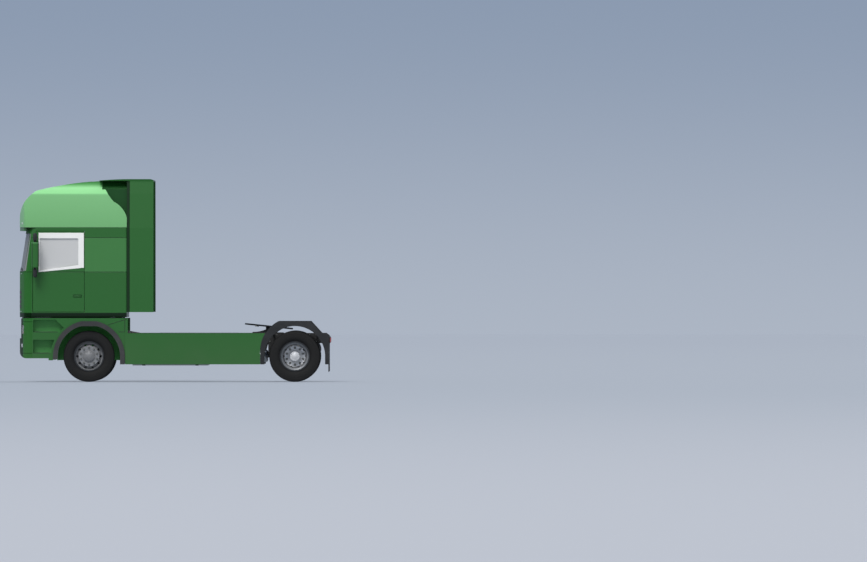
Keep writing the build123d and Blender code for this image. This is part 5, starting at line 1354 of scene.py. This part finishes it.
@dataclass
class Front(Assembly):
    """Headlamps, lower lamps, intake mesh and entry treads round the bumper."""

    lamp_y: Spot = (0.8015, 1.1285)
    lamp_z: Spot = (0.9515, 1.1285)
    lamp_depth: float = 0.054
    # Columns: place on Y, radius.
    bowls: tuple[Spot, ...] = ((0.888, 0.058), (1.008, 0.052))
    bowl_z: float = 1.052
    # Columns: height, end behind the nose.
    treads: tuple[Spot, ...] = ((0.567, 0.628), (0.985, 0.790))
    tread_x: float = 0.306
    tread_y: Spot = (1.086, 1.236)
    tread_pitch: float = 0.028
    mesh_bars: int = 49
    mesh_pitch: float = 0.028
    mesh_bar: float = 0.004
    mesh_z: Spot = (1.02, 1.265)
    mesh_nose: float = 0.076
    mesh_bow: float = 0.124

    def build(self) -> None:
        """Make what is set in the bumper and the steps."""
        self._headlamps()
        cast, fogs, surrounds = Skin("bumper").front, Form(), Form()
        for way in (1, -1):
            fogs.pad(cast, [way * u for u in span(0.84, 0.985, 8)], span(0.690, 0.755, 5), 0.002, -0.002)
            edges = [0.672, 0.676, 0.769, 0.773]
            surrounds.pad(cast, [way * u for u in span(0.82, 1.005, 9)], edges, 0.001, -0.002)
        self.place("fog_lamps", fogs, WHITE_LENS, Slot.LENS)
        self.place("fog_lamp_surrounds", surrounds, TRIM, Slot.TRIM)
        self.place("intake_mesh", self._mesh().moved(FROM_NOSE), RUBBER, Slot.TRIM)
        treads, start, (y0, y1) = Form(), self.tread_x, self.tread_y
        for low, end in self.treads:
            treads.block((start, y0, low + 0.0002), (end, y1, low + 0.010), 0.003)
            for i in range(int((end - start - 0.030) / self.tread_pitch)):
                x = start + 0.020 + self.tread_pitch * i
                treads.block((x, y0 + 0.010, low + 0.009), (x + 0.010, y1 - 0.008, low + 0.014), 0.002, 1)
        self.place("entry_treads", treads.moved(FROM_NOSE).both(), TRIM, Slot.TRIM)

    def _headlamps(self) -> None:
        """Replace the lamp blanks by a housing, two projectors, a lower light and a clear cover."""
        cast, vs = Skin("headlamps").front, span(*self.lamp_z, 8)
        cover, tray, bowls, eyes, strips = Form(), Form(), Form(), Form(), Form()
        eye = [(-0.004, 0.028), (-0.018, 0.027), (-0.026, 0.020), (-0.030, 0.010), (-0.031, 0.0005)]
        for way in (1, -1):
            us = [way * u for u in span(*self.lamp_y, 20)]
            cover.pad(cast, us, vs, 0.0, -0.008)
            tray.pad(cast, us, vs, -self.lamp_depth, -0.0085)
            for y, radius in self.bowls:
                spot = (cast(way * y, self.bowl_z, -self.lamp_depth).x, way * y, self.bowl_z)
                bowl = [
                    (0.0, 0.022), (-0.010, 0.030), (-0.020, radius - 0.012), (-0.030, radius - 0.003),
                    (-0.033, radius), (-0.030, radius + 0.003), (0.0, radius + 0.004),
                ]
                bowls.turned(bowl, spot, "X", 40)
                eyes.turned(eye, spot, "X", 32)
            strips.pad(cast, [way * u for u in span(0.815, 1.115, 18)], span(0.962, 0.980, 3), -0.012, -0.030)
        self.place("lamp_housings", tray, TRIM, Slot.TRIM)
        self.place("lamp_reflectors", bowls, CHROME, Slot.LENS)
        self.place("lamp_projectors", eyes, WHITE_LENS, Slot.LENS)
        self.place("turn_strips", strips, AMBER_LENS, Slot.LENS)
        self.place("lamp_covers", cover, LENS, Slot.LENS, replaces=["headlamps"])

    def _mesh(self) -> Form:
        """Return the fine bars behind the lower grille's openings, from the nose."""
        form, thick, (low, high) = Form(), self.mesh_bar, self.mesh_z
        for y in centred(0, self.mesh_pitch * (self.mesh_bars - 1) / 2, self.mesh_bars):
            x = self.mesh_nose + self.mesh_bow * (y / CAB_HALF) ** 2
            form.block((x, y - thick / 2, low), (x + thick, y + thick / 2, high), 0.001, 1)
        return form


@dataclass
class SoftPad:
    """A foam cushion: a cut block blown up by a cloth simulation, with sewn channels pressed in after."""

    low: Point
    high: Point
    corner: float = 0.04
    voxel: float = 0.006
    puff: float = 0.022
    lean: float = 0.0
    fill: float = 0.7
    channels: tuple[float, ...] = ()
    channel_axis: int = 0

    CHANNEL_DEPTH: ClassVar[float] = 0.010
    CHANNEL_WIDTH: ClassVar[float] = 0.008
    PRESSURE: ClassVar[float] = 4.0
    FRAMES: ClassVar[int] = 12

    def make(self, name: str) -> bpy.types.Object:
        """Return the finished cushion.

        Args:
            name: Name of the object.
        """
        made = Form().block(self.low, self.high, self.corner, 4).object(name, 180.0)
        bpy.context.view_layer.objects.active = made
        self._apply(made, "REMESH", mode="VOXEL", voxel_size=self.voxel, use_smooth_shade=True)
        self._inflate(made)
        self._apply(made, "SMOOTH", factor=0.5, iterations=12)
        foot = Vector((self.high[0], 0.0, self.low[2]))
        middle = (self.low[2] + self.high[2]) / 2
        turn = Matrix.Rotation(self.lean, 3, "Y")
        for vertex in made.data.vertices:
            spot = vertex.co
            for place in self.channels:
                off = abs(spot[self.channel_axis] - place) / self.CHANNEL_WIDTH
                if spot.z > middle:
                    spot.z -= self.CHANNEL_DEPTH * math.exp(-(off**2))
            if self.lean:
                vertex.co = turn @ (spot - foot) + foot
        return smoothed(made)

    def _inflate(self, made: bpy.types.Object) -> None:
        """Blow the cushion up and keep every point near where it was."""
        start = [v.co.copy() for v in made.data.vertices]
        cloth = made.modifiers.new("cloth", "CLOTH")
        cloth.settings.use_pressure = True
        cloth.settings.uniform_pressure_force = self.PRESSURE
        cloth.settings.effector_weights.gravity = 0.0
        cloth.settings.quality = 4
        cloth.point_cache.frame_end = 20
        for step in range(1, self.FRAMES + 1):
            bpy.context.scene.frame_set(step)
        done = made.evaluated_get(bpy.context.evaluated_depsgraph_get()).to_mesh()
        moved = [v.co.copy() for v in done.vertices]
        made.modifiers.remove(cloth)
        bpy.context.scene.frame_set(1)
        for vertex, before, after in zip(made.data.vertices, start, moved):
            push = after - before
            vertex.co = before + push * min(1.0, self.puff / max(push.length, 1e-6))

    @staticmethod
    def _apply(made: bpy.types.Object, kind: str, **values: Any) -> None:
        """Add a modifier with these values and apply it."""
        modifier = made.modifiers.new(kind.lower(), kind)
        for key, value in values.items():
            setattr(modifier, key, value)
        bpy.ops.object.modifier_apply(modifier=modifier.name)


@dataclass
class Seats(Assembly):
    """Both air-sprung seats."""

    x: float = behind(1.130)
    y: float = -0.64
    floor: float = 1.4405
    lean: float = math.radians(10.0)

    body = "cab"

    def build(self) -> None:
        """Make one seat on the left and its mirror image on the right."""
        frames, bellows = self._frames().both(), self._bellows().both()
        self.place("seat_frames", frames, TRIM, Slot.TRIM, replaces=["seats"])
        self.place("seat_bellows", bellows, RUBBER, Slot.RUBBER)
        for name, pad, finish in self._pads():
            left = pad.make(f"{name}_left")
            right = linked(bpy.data.objects.new(f"{name}_right", left.data.copy()))
            for vertex in right.data.vertices:
                vertex.co.y = -vertex.co.y
            right.data.flip_normals()
            self.dress(left, finish, Slot.CLOTH)
            self.dress(smoothed(right), finish, Slot.CLOTH)

    def _at(self, dx: float, dy: float, dz: float) -> Point:
        """Return a point measured from the left seat's foot."""
        return (self.x + dx, self.y + dy, self.floor + dz)

    def _pads(self) -> list[tuple[str, SoftPad, Finish]]:
        """Return the pads of the left seat with their finishes."""
        at, lean, sewn = self._at, self.lean, (self.x - 0.08, self.x + 0.06)
        cushion = SoftPad(at(-0.235, -0.175, 0.395), at(0.225, 0.175, 0.485), 0.035, channels=sewn)
        back = SoftPad(at(0.165, -0.155, 0.520), at(0.245, 0.155, 1.030), 0.030, lean=lean)
        head = SoftPad(at(0.262, -0.130, 1.070), at(0.332, 0.130, 1.200), 0.030)
        pads = [("seat_cushion", cushion, SEAT), ("seat_back", back, SEAT), ("headrest", head, SEAT)]
        for way, tag in ((-1, "out"), (1, "in")):
            a, b = sorted((way * 0.178, way * 0.232))
            wing = SoftPad(at(-0.230, a, 0.390), at(0.220, b, 0.505), 0.024, puff=0.010, fill=0.9)
            pads.append((f"cushion_wing_{tag}", wing, SEAT_SIDE))
            a, b = sorted((way * 0.158, way * 0.225))
            wing = SoftPad(at(0.150, a, 0.530), at(0.245, b, 0.960), 0.028, puff=0.008, lean=lean, fill=0.9)
            pads.append((f"back_wing_{tag}", wing, SEAT_SIDE))
        return pads

    def _frames(self) -> Form:
        """Return the base frame with its scissor arms, its recliner knob and the headrest's posts."""
        form = Form().block((-0.185, -0.145, 0), (0.185, 0.145, 0.045), 0.006)
        form.block((-0.200, -0.165, 0.325), (0.200, 0.165, 0.385), 0.012, 3)
        for way in (-1, 1):
            form.tube([(-0.15, way * 0.135, 0.05), (0.14, way * 0.135, 0.32)], 0.011, 10)
            form.tube([(0.14, way * 0.120, 0.05), (-0.15, way * 0.120, 0.32)], 0.011, 10)
        form.block((0.195, -0.215, 0.395), (0.236, 0.215, 0.500), 0.012, 3)
        form.turned([(0.236, 0.030), (0.250, 0.030), (0.253, 0.026), (0.253, 0.001)], (0.19, 0, 0.445), "Y", 24)
        for y in (-0.07, 0.07):
            form.tube([(0.285, y, 0.960), (0.300, y, 1.040), (0.300, y, 1.110)], 0.007, 8)
        return form.moved(Matrix.Translation(self._at(0, 0, 0)))

    def _bellows(self) -> Form:
        """Return the air spring's bellows under the left seat."""
        rings = [(0.048, 0.095)]
        for low in (0.055 + 0.044 * i for i in range(6)):
            rings += [(low, 0.100), (low + 0.012, 0.116), (low + 0.026, 0.116), (low + 0.038, 0.100)]
        return Form().turned([*rings, (0.324, 0.095)], self._at(0, 0, 0), "Z", 32)


@dataclass
class Bunk(Assembly):
    """The bed behind the seats: a base with drawers and a mattress."""

    x: Spot = (behind(1.562), behind(2.076))
    half: float = 1.150
    base: Spot = (1.6003, 1.755)
    top: float = 1.905
    drawers: tuple[float, ...] = (-0.76, 0.0, 0.76)
    channels: tuple[float, ...] = (-0.75, -0.375, 0.0, 0.375, 0.75)

    body = "cab"

    def build(self) -> None:
        """Make the bed."""
        (x0, x1), (z0, z1) = self.x, self.base
        form = Form().block((x0 + 0.012, -self.half, z0), (x1 - 0.004, self.half, z1), 0.010, 3)
        for y in self.drawers:
            form.block((x0 + 0.002, y - 0.34, z0 + 0.020), (x0 + 0.016, y + 0.34, z1 - 0.020), 0.006)
            form.block((x0 - 0.004, y - 0.07, z1 - 0.052), (x0 + 0.006, y + 0.07, z1 - 0.034), 0.004)
        self.place("bunk_base", form, DASH, Slot.DASH, replaces=["bunk"])
        half = self.half - 0.02
        low, high = (x0 + 0.020, -half, z1 + 0.016), (x1 - 0.022, half, self.top - 0.018)
        mattress = SoftPad(low, high, 0.035, voxel=0.016, puff=0.018, channels=self.channels, channel_axis=1)
        self.dress(mattress.make("mattress"), MATTRESS, Slot.CLOTH)


@dataclass
class Cockpit(Assembly):
    """Instrument binnacle, screen, vents, switches, pedals, floor mats and the wheel's hub."""

    driver_y: float = -0.62
    wheel_x: float = behind(0.620)
    wheel_z: float = 2.110
    wheel_tilt: float = math.radians(35.0)
    floor_z: float = 1.4405
    vents: tuple[float, ...] = (-1.06, -0.33, 0.20, 0.80, 1.06)
    vent_bars: tuple[float, ...] = (2.034, 2.050, 2.066)
    # Columns: left edge, width.
    pedals: tuple[Spot, ...] = ((-0.74, 0.055), (-0.64, 0.070), (-0.52, 0.050))
    mat_x: Spot = (0.36, 0.92)
    mat_y: float = 0.66
    mat_half: float = 0.30
    mat_ribs: int = 12
    mat_pitch: float = 0.043
    switch_rows: tuple[float, ...] = (1.885, 1.919)
    switch_columns: tuple[float, ...] = (-0.205, -0.137, -0.069, -0.001)

    body = "cab"

    def build(self) -> None:
        """Make the controls."""
        self._dash()
        pedals = Form()
        for y, width in self.pedals:
            plate = [(0.48, y, 1.50), (0.42, y, 1.62), (0.408, y, 1.612), (0.468, y, 1.492)]
            middle = y + width / 2
            pedals.prism(plate, (0, width, 0), 0.004)
            pedals.tube([(0.43, middle, 1.58), (0.36, middle, 1.66), (0.30, middle, 1.76)], 0.009, 8)
        self.place("pedals", pedals.moved(FROM_NOSE), RUBBER, Slot.RUBBER)
        mats, z, half, (x0, x1) = Form(), self.floor_z, self.mat_half, self.mat_x
        for y in (side.value * self.mat_y for side in Side):
            mats.block((x0, y - half, z), (x1, y + half, z + 0.008), 0.003)
            for i in range(self.mat_ribs):
                x, low, high = x0 + 0.025 + self.mat_pitch * i, y - half + 0.03, y + half - 0.03
                mats.block((x, low, z + 0.007), (x + 0.015, high, z + 0.012), 0.002, 1)
        self.place("floor_mats", mats.moved(FROM_NOSE), RUBBER, Slot.RUBBER)
        dome = [(-0.016, 0.078), (0.010, 0.080), (0.022, 0.076), (0.030, 0.060), (0.033, 0.020), (0.033, 0.0005)]
        pad = Form().turned(dome, (0, 0, 0), "Z", 40)
        pad.turned([(0.030, 0.030), (0.0345, 0.029), (0.0350, 0.001)], (0, 0, 0), "Z", 32)
        hub = Matrix.Translation((self.wheel_x, self.driver_y, self.wheel_z))
        pad = pad.moved(hub @ Matrix.Rotation(self.wheel_tilt, 4, "Y"))
        self.place("wheel_hub_pad", pad, TRIM, Slot.TRIM, "steering_wheel")

    def _dash(self) -> None:
        """Make the hoods, the screens, the vents and the switches on the dashboard."""
        cast, y = Skin("dashboard").rear, self.driver_y
        hoods, screens, vents = Form(), Form(), Form()
        # Columns: form, middle, half width and points on Y, the same on Z, lift, rim.
        for form, across, upward, lift, rim in (
            (hoods, (y, 0.19, 12), (2.015, 0.085, 8), 0.020, -0.004),
            (screens, (y, 0.168, 12), (2.016, 0.064, 8), 0.0225, 0.018),
            (hoods, (-0.10, 0.16, 10), (1.98, 0.12, 8), 0.016, -0.004),
            (screens, (-0.10, 0.135, 10), (2.03, 0.055, 6), 0.018, 0.014),
        ):
            form.pad(cast, centred(*across), centred(*upward), lift, rim)
        for y in self.vents:
            vents.pad(cast, centred(y, 0.060, 6), span(2.02, 2.09, 4), 0.010, -0.003)
            for z in self.vent_bars:
                vents.pad(cast, centred(y, 0.050, 5), [z, z + 0.003, z + 0.007], 0.014, 0.009)
        for z in self.switch_rows:
            for y in self.switch_columns:
                vents.pad(cast, centred(y, 0.026, 4), centred(z, 0.012, 3), 0.020, 0.014)
        self.place("dash_hoods", hoods, TRIM, Slot.DASH)
        self.place("dash_screens", screens, INSTRUMENT, Slot.DASH)
        self.place("dash_vents", vents, RUBBER, Slot.TRIM)


@dataclass
class Underpinnings(Assembly):
    """Rail bolts, tank straps and caps, brake chambers, shock absorbers, U-bolts and engine covers."""

    tanks_x: Spot = (behind(2.262), behind(3.758))
    tank_y: float = 0.77
    tank_z: float = 0.625
    tank_corner: float = 0.124
    chamber_y: float = 0.27
    chamber_z: float = 0.640
    # Columns: place on X, foot, top.
    shocks: tuple[Point, ...] = ((FRONT_AXLE + 0.13, 0.50, 0.86), (REAR_AXLE + 0.16, 0.46, 0.90))
    shock_y: float = 0.475
    bolt_z: Spot = (0.800, 0.930)
    strap_inset: float = 0.22
    strap_half: float = 0.030
    clamp_off: float = 0.075
    clamp_y: Spot = (0.352, 0.433)
    clamp_z: Spot = (0.335, 0.595)

    def build(self) -> None:
        """Make what hangs on the frame."""
        for name, form, finish, slot in (
            ("rail_bolts", self._bolts(), ZINC, Slot.CHASSIS),
            ("tank_straps", self._straps(), CHASSIS, Slot.CHASSIS),
            ("tank_cap", self._cap(), ZINC, Slot.TANK),
            ("brake_chambers", self._chambers(), IRON, Slot.IRON),
            ("shock_absorbers", self._shocks(), RUBBER, Slot.CHASSIS),
            ("arm_clamps", self._clamps(), ZINC, Slot.IRON),
        ):
            self.place(name, form.both(), finish, slot)
        self.place("engine_covers", self._engine(), IRON, Slot.IRON)

    def _bolts(self) -> Form:
        """Return the bolts of brackets and cross members along the right rail."""
        front, rear = centred(FRONT_AXLE, 0.52, 9), span(REAR_AXLE - 0.5, REAR_AXLE + 0.55, 9)
        bolts = Form()
        for x in [*front, *span(behind(2.35), behind(4.35), 17), *rear]:
            for z in self.bolt_z:
                bolts.bolt((x, RAIL_HALF, z), (0, 1, 0), 0.011)
        return bolts

    def _straps(self) -> Form:
        """Return two steel bands round the right tank."""
        form, y0, z0, outline = Form(), self.tank_y, self.tank_z, []
        for y, z, start in ((0.19, 0.18, 0), (-0.19, 0.18, 90), (-0.19, -0.18, 180), (0.19, -0.18, 270)):
            for angle in map(math.radians, span(start, start + 90, 7)):
                outline.append((y + self.tank_corner * math.cos(angle), z + self.tank_corner * math.sin(angle)))
        half = self.strap_half
        for x in (self.tanks_x[0] + self.strap_inset, self.tanks_x[1] - self.strap_inset):
            rows = [
                [Vector((x + dx, y0 + y * grow, z0 + z * grow)) for y, z in outline]
                for dx, grow in ((-half, 0.970), (-half, 1.0), (half, 1.0), (half, 0.970))
            ]
            form.grid(rows, ring=True)
        return form

    def _cap(self) -> Form:
        """Return a filler cap on the tank's upper corner."""
        lid = [(0.0, 0.050), (0.018, 0.050), (0.022, 0.060), (0.042, 0.060), (0.048, 0.054), (0.048, 0.001)]
        form = Form().turned(lid, (0, 0, 0), "Z", 32).block((-0.05, -0.008, 0.046), (0.05, 0.008, 0.058), 0.003)
        place = Matrix.Translation((self.tanks_x[1] - 0.40, self.tank_y + 0.263, self.tank_z + 0.253))
        return form.moved(place @ Matrix.Rotation(math.radians(-45), 4, "X"))

    def _chambers(self) -> Form:
        """Return the brake chamber behind the rear axle with its push rod."""
        y, z = self.chamber_y, self.chamber_z
        can = [
            (0.115, 0.001), (0.115, 0.050), (0.125, 0.070), (0.150, 0.078), (0.152, 0.084), (0.162, 0.084),
            (0.164, 0.078), (0.235, 0.074), (0.262, 0.058), (0.270, 0.030), (0.270, 0.001),
        ]
        form = Form().turned(can, (0, y, z), "X", 32).tube([(0.06, y, z), (0.12, y, z)], 0.012, 10)
        return form.moved(Matrix.Translation((REAR_AXLE, 0, 0)))

    def _shocks(self) -> Form:
        """Return one shock absorber per wheel end."""
        form, y = Form(), self.shock_y
        for x, low, high in self.shocks:
            middle = low + (high - low) * 0.55
            form.tube([(x, y, low), (x, y, middle)], 0.030, 20)
            form.tube([(x, y, middle), (x, y, high)], 0.024, 20)
            for z in (low, high):
                form.tube([(x, y - 0.036, z), (x, y + 0.020, z)], 0.022, 16)
        return form

    def _clamps(self) -> Form:
        """Return the U-bolts that tie the trailing arms to the rear axle."""
        form, (low, high) = Form(), self.clamp_z
        for x in (REAR_AXLE - self.clamp_off, REAR_AXLE + self.clamp_off):
            for y in self.clamp_y:
                form.tube([(x, y, low), (x, y, high)], 0.009, 10).bolt((x, y, low + 0.003), (0, 0, -1), 0.015)
        return form

    def _engine(self) -> Form:
        """Return the rocker cover and its ribs on the engine block."""
        cast, form = Skin("engine").top, Form()
        form.pad(cast, span(behind(0.70), behind(1.62), 24), span(-0.16, 0.10, 8), 0.026, -0.004)
        for x in (behind(0.745 + 0.083 * i) for i in range(11)):
            form.pad(cast, [x, x + 0.004, x + 0.018, x + 0.022], span(-0.13, 0.07, 6), 0.034, 0.022)
        return form


@dataclass
class SideJoints(Assembly):
    """Panel joints of the lower body and the rubber lips under the cab's edge."""

    lines: tuple[tuple[Spot, Spot], ...] = (
        ((2.150, 1.244), (1.770, 1.128)),
        ((2.112, 1.236), (2.112, 0.992)),
        ((1.985, 0.990), (2.112, 0.990)),
    )
    half_width: float = 0.006

    def build(self) -> None:
        """Make the joints and the lips on both sides."""
        skin, joints = Skin("side_panels"), Form()
        for side in Side:
            for start, end in self.lines:
                rows = [
                    [skin.side(behind(x), z, side, lift) for x, z in self._beside(start, end, share)]
                    for share, lift in ((-1.0, -0.001), (-0.6, 0.0012), (0.6, 0.0012), (1.0, -0.001))
                ]
                joints.grid(rows)
        lips = Form().block((behind(0.16), 1.150, 1.258), (behind(2.070), 1.168, 1.2765), 0.004, 3)
        self.place("panel_joints", joints, RUBBER, Slot.RUBBER)
        self.place("edge_lips", lips.both(), RUBBER, Slot.RUBBER)

    def _beside(self, start: Spot, end: Spot, share: float) -> list[Spot]:
        """Return points along a line, moved off it by a share of the joint's half width."""
        run_x, run_z = end[0] - start[0], end[1] - start[1]
        off = self.half_width * share / math.dist(start, end)
        return [(start[0] + run_x * t - run_z * off, start[1] + run_z * t + run_x * off) for t in span(0, 1, 14)]


@dataclass
class RearOfCab(Assembly):
    """Coupling sockets on the cab's back wall; no cord is plugged in."""

    colours: tuple[str, ...] = ("b02a20", "caa22a", "1c1d1f", "6c7278")
    first_y: float = -0.45
    pitch: float = 0.10
    z: float = 1.60
    bolt_off: float = 0.033

    body = "cab"

    def build(self) -> None:
        """Make the sockets with their sprung caps."""
        wall, bodies, z = Skin("coupling_panel"), Form(), self.z
        socket = [(-0.002, 0.040), (0.006, 0.040), (0.008, 0.0295), (0.044, 0.0285), (0.045, 0.020)]
        lid = [(0.040, 0.031), (0.044, 0.032), (0.050, 0.032), (0.054, 0.028), (0.055, 0.001)]
        for i, colour in enumerate(self.colours):
            y = self.first_y + self.pitch * i
            face = (wall.rear(y + self.pitch / 2, z).x, y, z)
            bodies.turned(socket, face, "X", 28)
            for dz in (-self.bolt_off, self.bolt_off):
                for dy in (-self.bolt_off, self.bolt_off):
                    bodies.bolt((face[0], y + dy, z + dz), (1, 0, 0), 0.006)
            cap = Form().turned(lid, face, "X", 28)
            cap.block((face[0] + 0.032, y - 0.008, z + 0.024), (face[0] + 0.053, y + 0.008, z + 0.044), 0.003)
            self.place(f"coupling_cap_{i}", cap, Finish(f"cap_{i}", colour, roughness=0.45), Slot.TRIM)
        self.place("coupling_bodies", bodies, ZINC, Slot.IRON)


@dataclass
class Hitch(Assembly):
    """Release handle of the fifth wheel, close under its plate."""

    pivot: Point = (behind(4.935), 0.0, 1.117)
    bar: tuple[Point, ...] = ((-0.19, 0.16, -0.018), (-0.20, 0.34, -0.018), (-0.20, 0.455, -0.018))
    grip: tuple[Point, ...] = (
        (-0.20, 0.445, -0.018), (-0.225, 0.470, -0.016), (-0.255, 0.470, -0.014), (-0.255, 0.440, -0.014),
    )

    body = "fifth_wheel"

    def build(self) -> None:
        """Make the release handle."""
        handle = Form().tube(self.bar, 0.008).tube(self.grip, 0.008).moved(Matrix.Translation(self.pivot))
        self.place("release_handle", handle, ZINC, Slot.IRON)


@dataclass
class Tail(Assembly):
    """Rear lamps on the mudflaps."""

    x: float = 3.0645
    z: Spot = (0.785, 0.875)
    # Columns: inner and outer edge of each lens, by its kind.
    red: tuple[Spot, ...] = ((1.005, 1.155), (0.660, 0.760))
    amber: tuple[Spot, ...] = ((0.855, 0.995),)
    white: tuple[Spot, ...] = ((0.770, 0.845),)

    def build(self) -> None:
        """Make the housings and the lenses."""
        (z0, z1), x, housing = self.z, self.x, Form()
        for way in (-1, 1):
            a, b = sorted((way * 0.640, way * 1.180))
            housing.block((x, a, z0 - 0.020), (x + 0.018, b, z1 + 0.020), 0.006, 3)
        self.place("rear_lamp_housings", housing, TRIM, Slot.TRIM, replaces=["rear_lamps"])
        for name, edges, finish, slot in (
            ("red", self.red, RED_LENS, Slot.RED),
            ("amber", self.amber, AMBER_LENS, Slot.LENS),
            ("white", self.white, WHITE_LENS, Slot.LENS),
        ):
            lens = Form().blocks(*(((x + 0.014, a, z0), (x + 0.0295, b, z1), 0.006, 3) for a, b in edges))
            self.place(f"rear_lens_{name}", lens.both(), finish, slot)


def dress_nodes() -> None:
    """Give every CAD node its procedural material."""
    bare = set(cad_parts)
    for finish, names in NODE_FINISHES.items():
        for name in names.split():
            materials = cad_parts[name].data.materials
            materials.clear()
            materials.append(finish.material())
            bare.discard(name)
    if bare:
        raise ValueError(f"nodes without a finish: {sorted(bare)}")


def main() -> None:
    """Build the studio and every sub-assembly."""
    logging.basicConfig(level=logging.INFO, format="%(message)s")
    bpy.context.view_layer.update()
    dress_nodes()
    for part in (
        Studio, Wheels, Doors, CabTrim, NosePanel, Front, Seats, Bunk, Cockpit, Underpinnings, SideJoints,
        RearOfCab, Hitch, Tail,
    ):
        part().build()


if __name__ == "__main__":
    main()
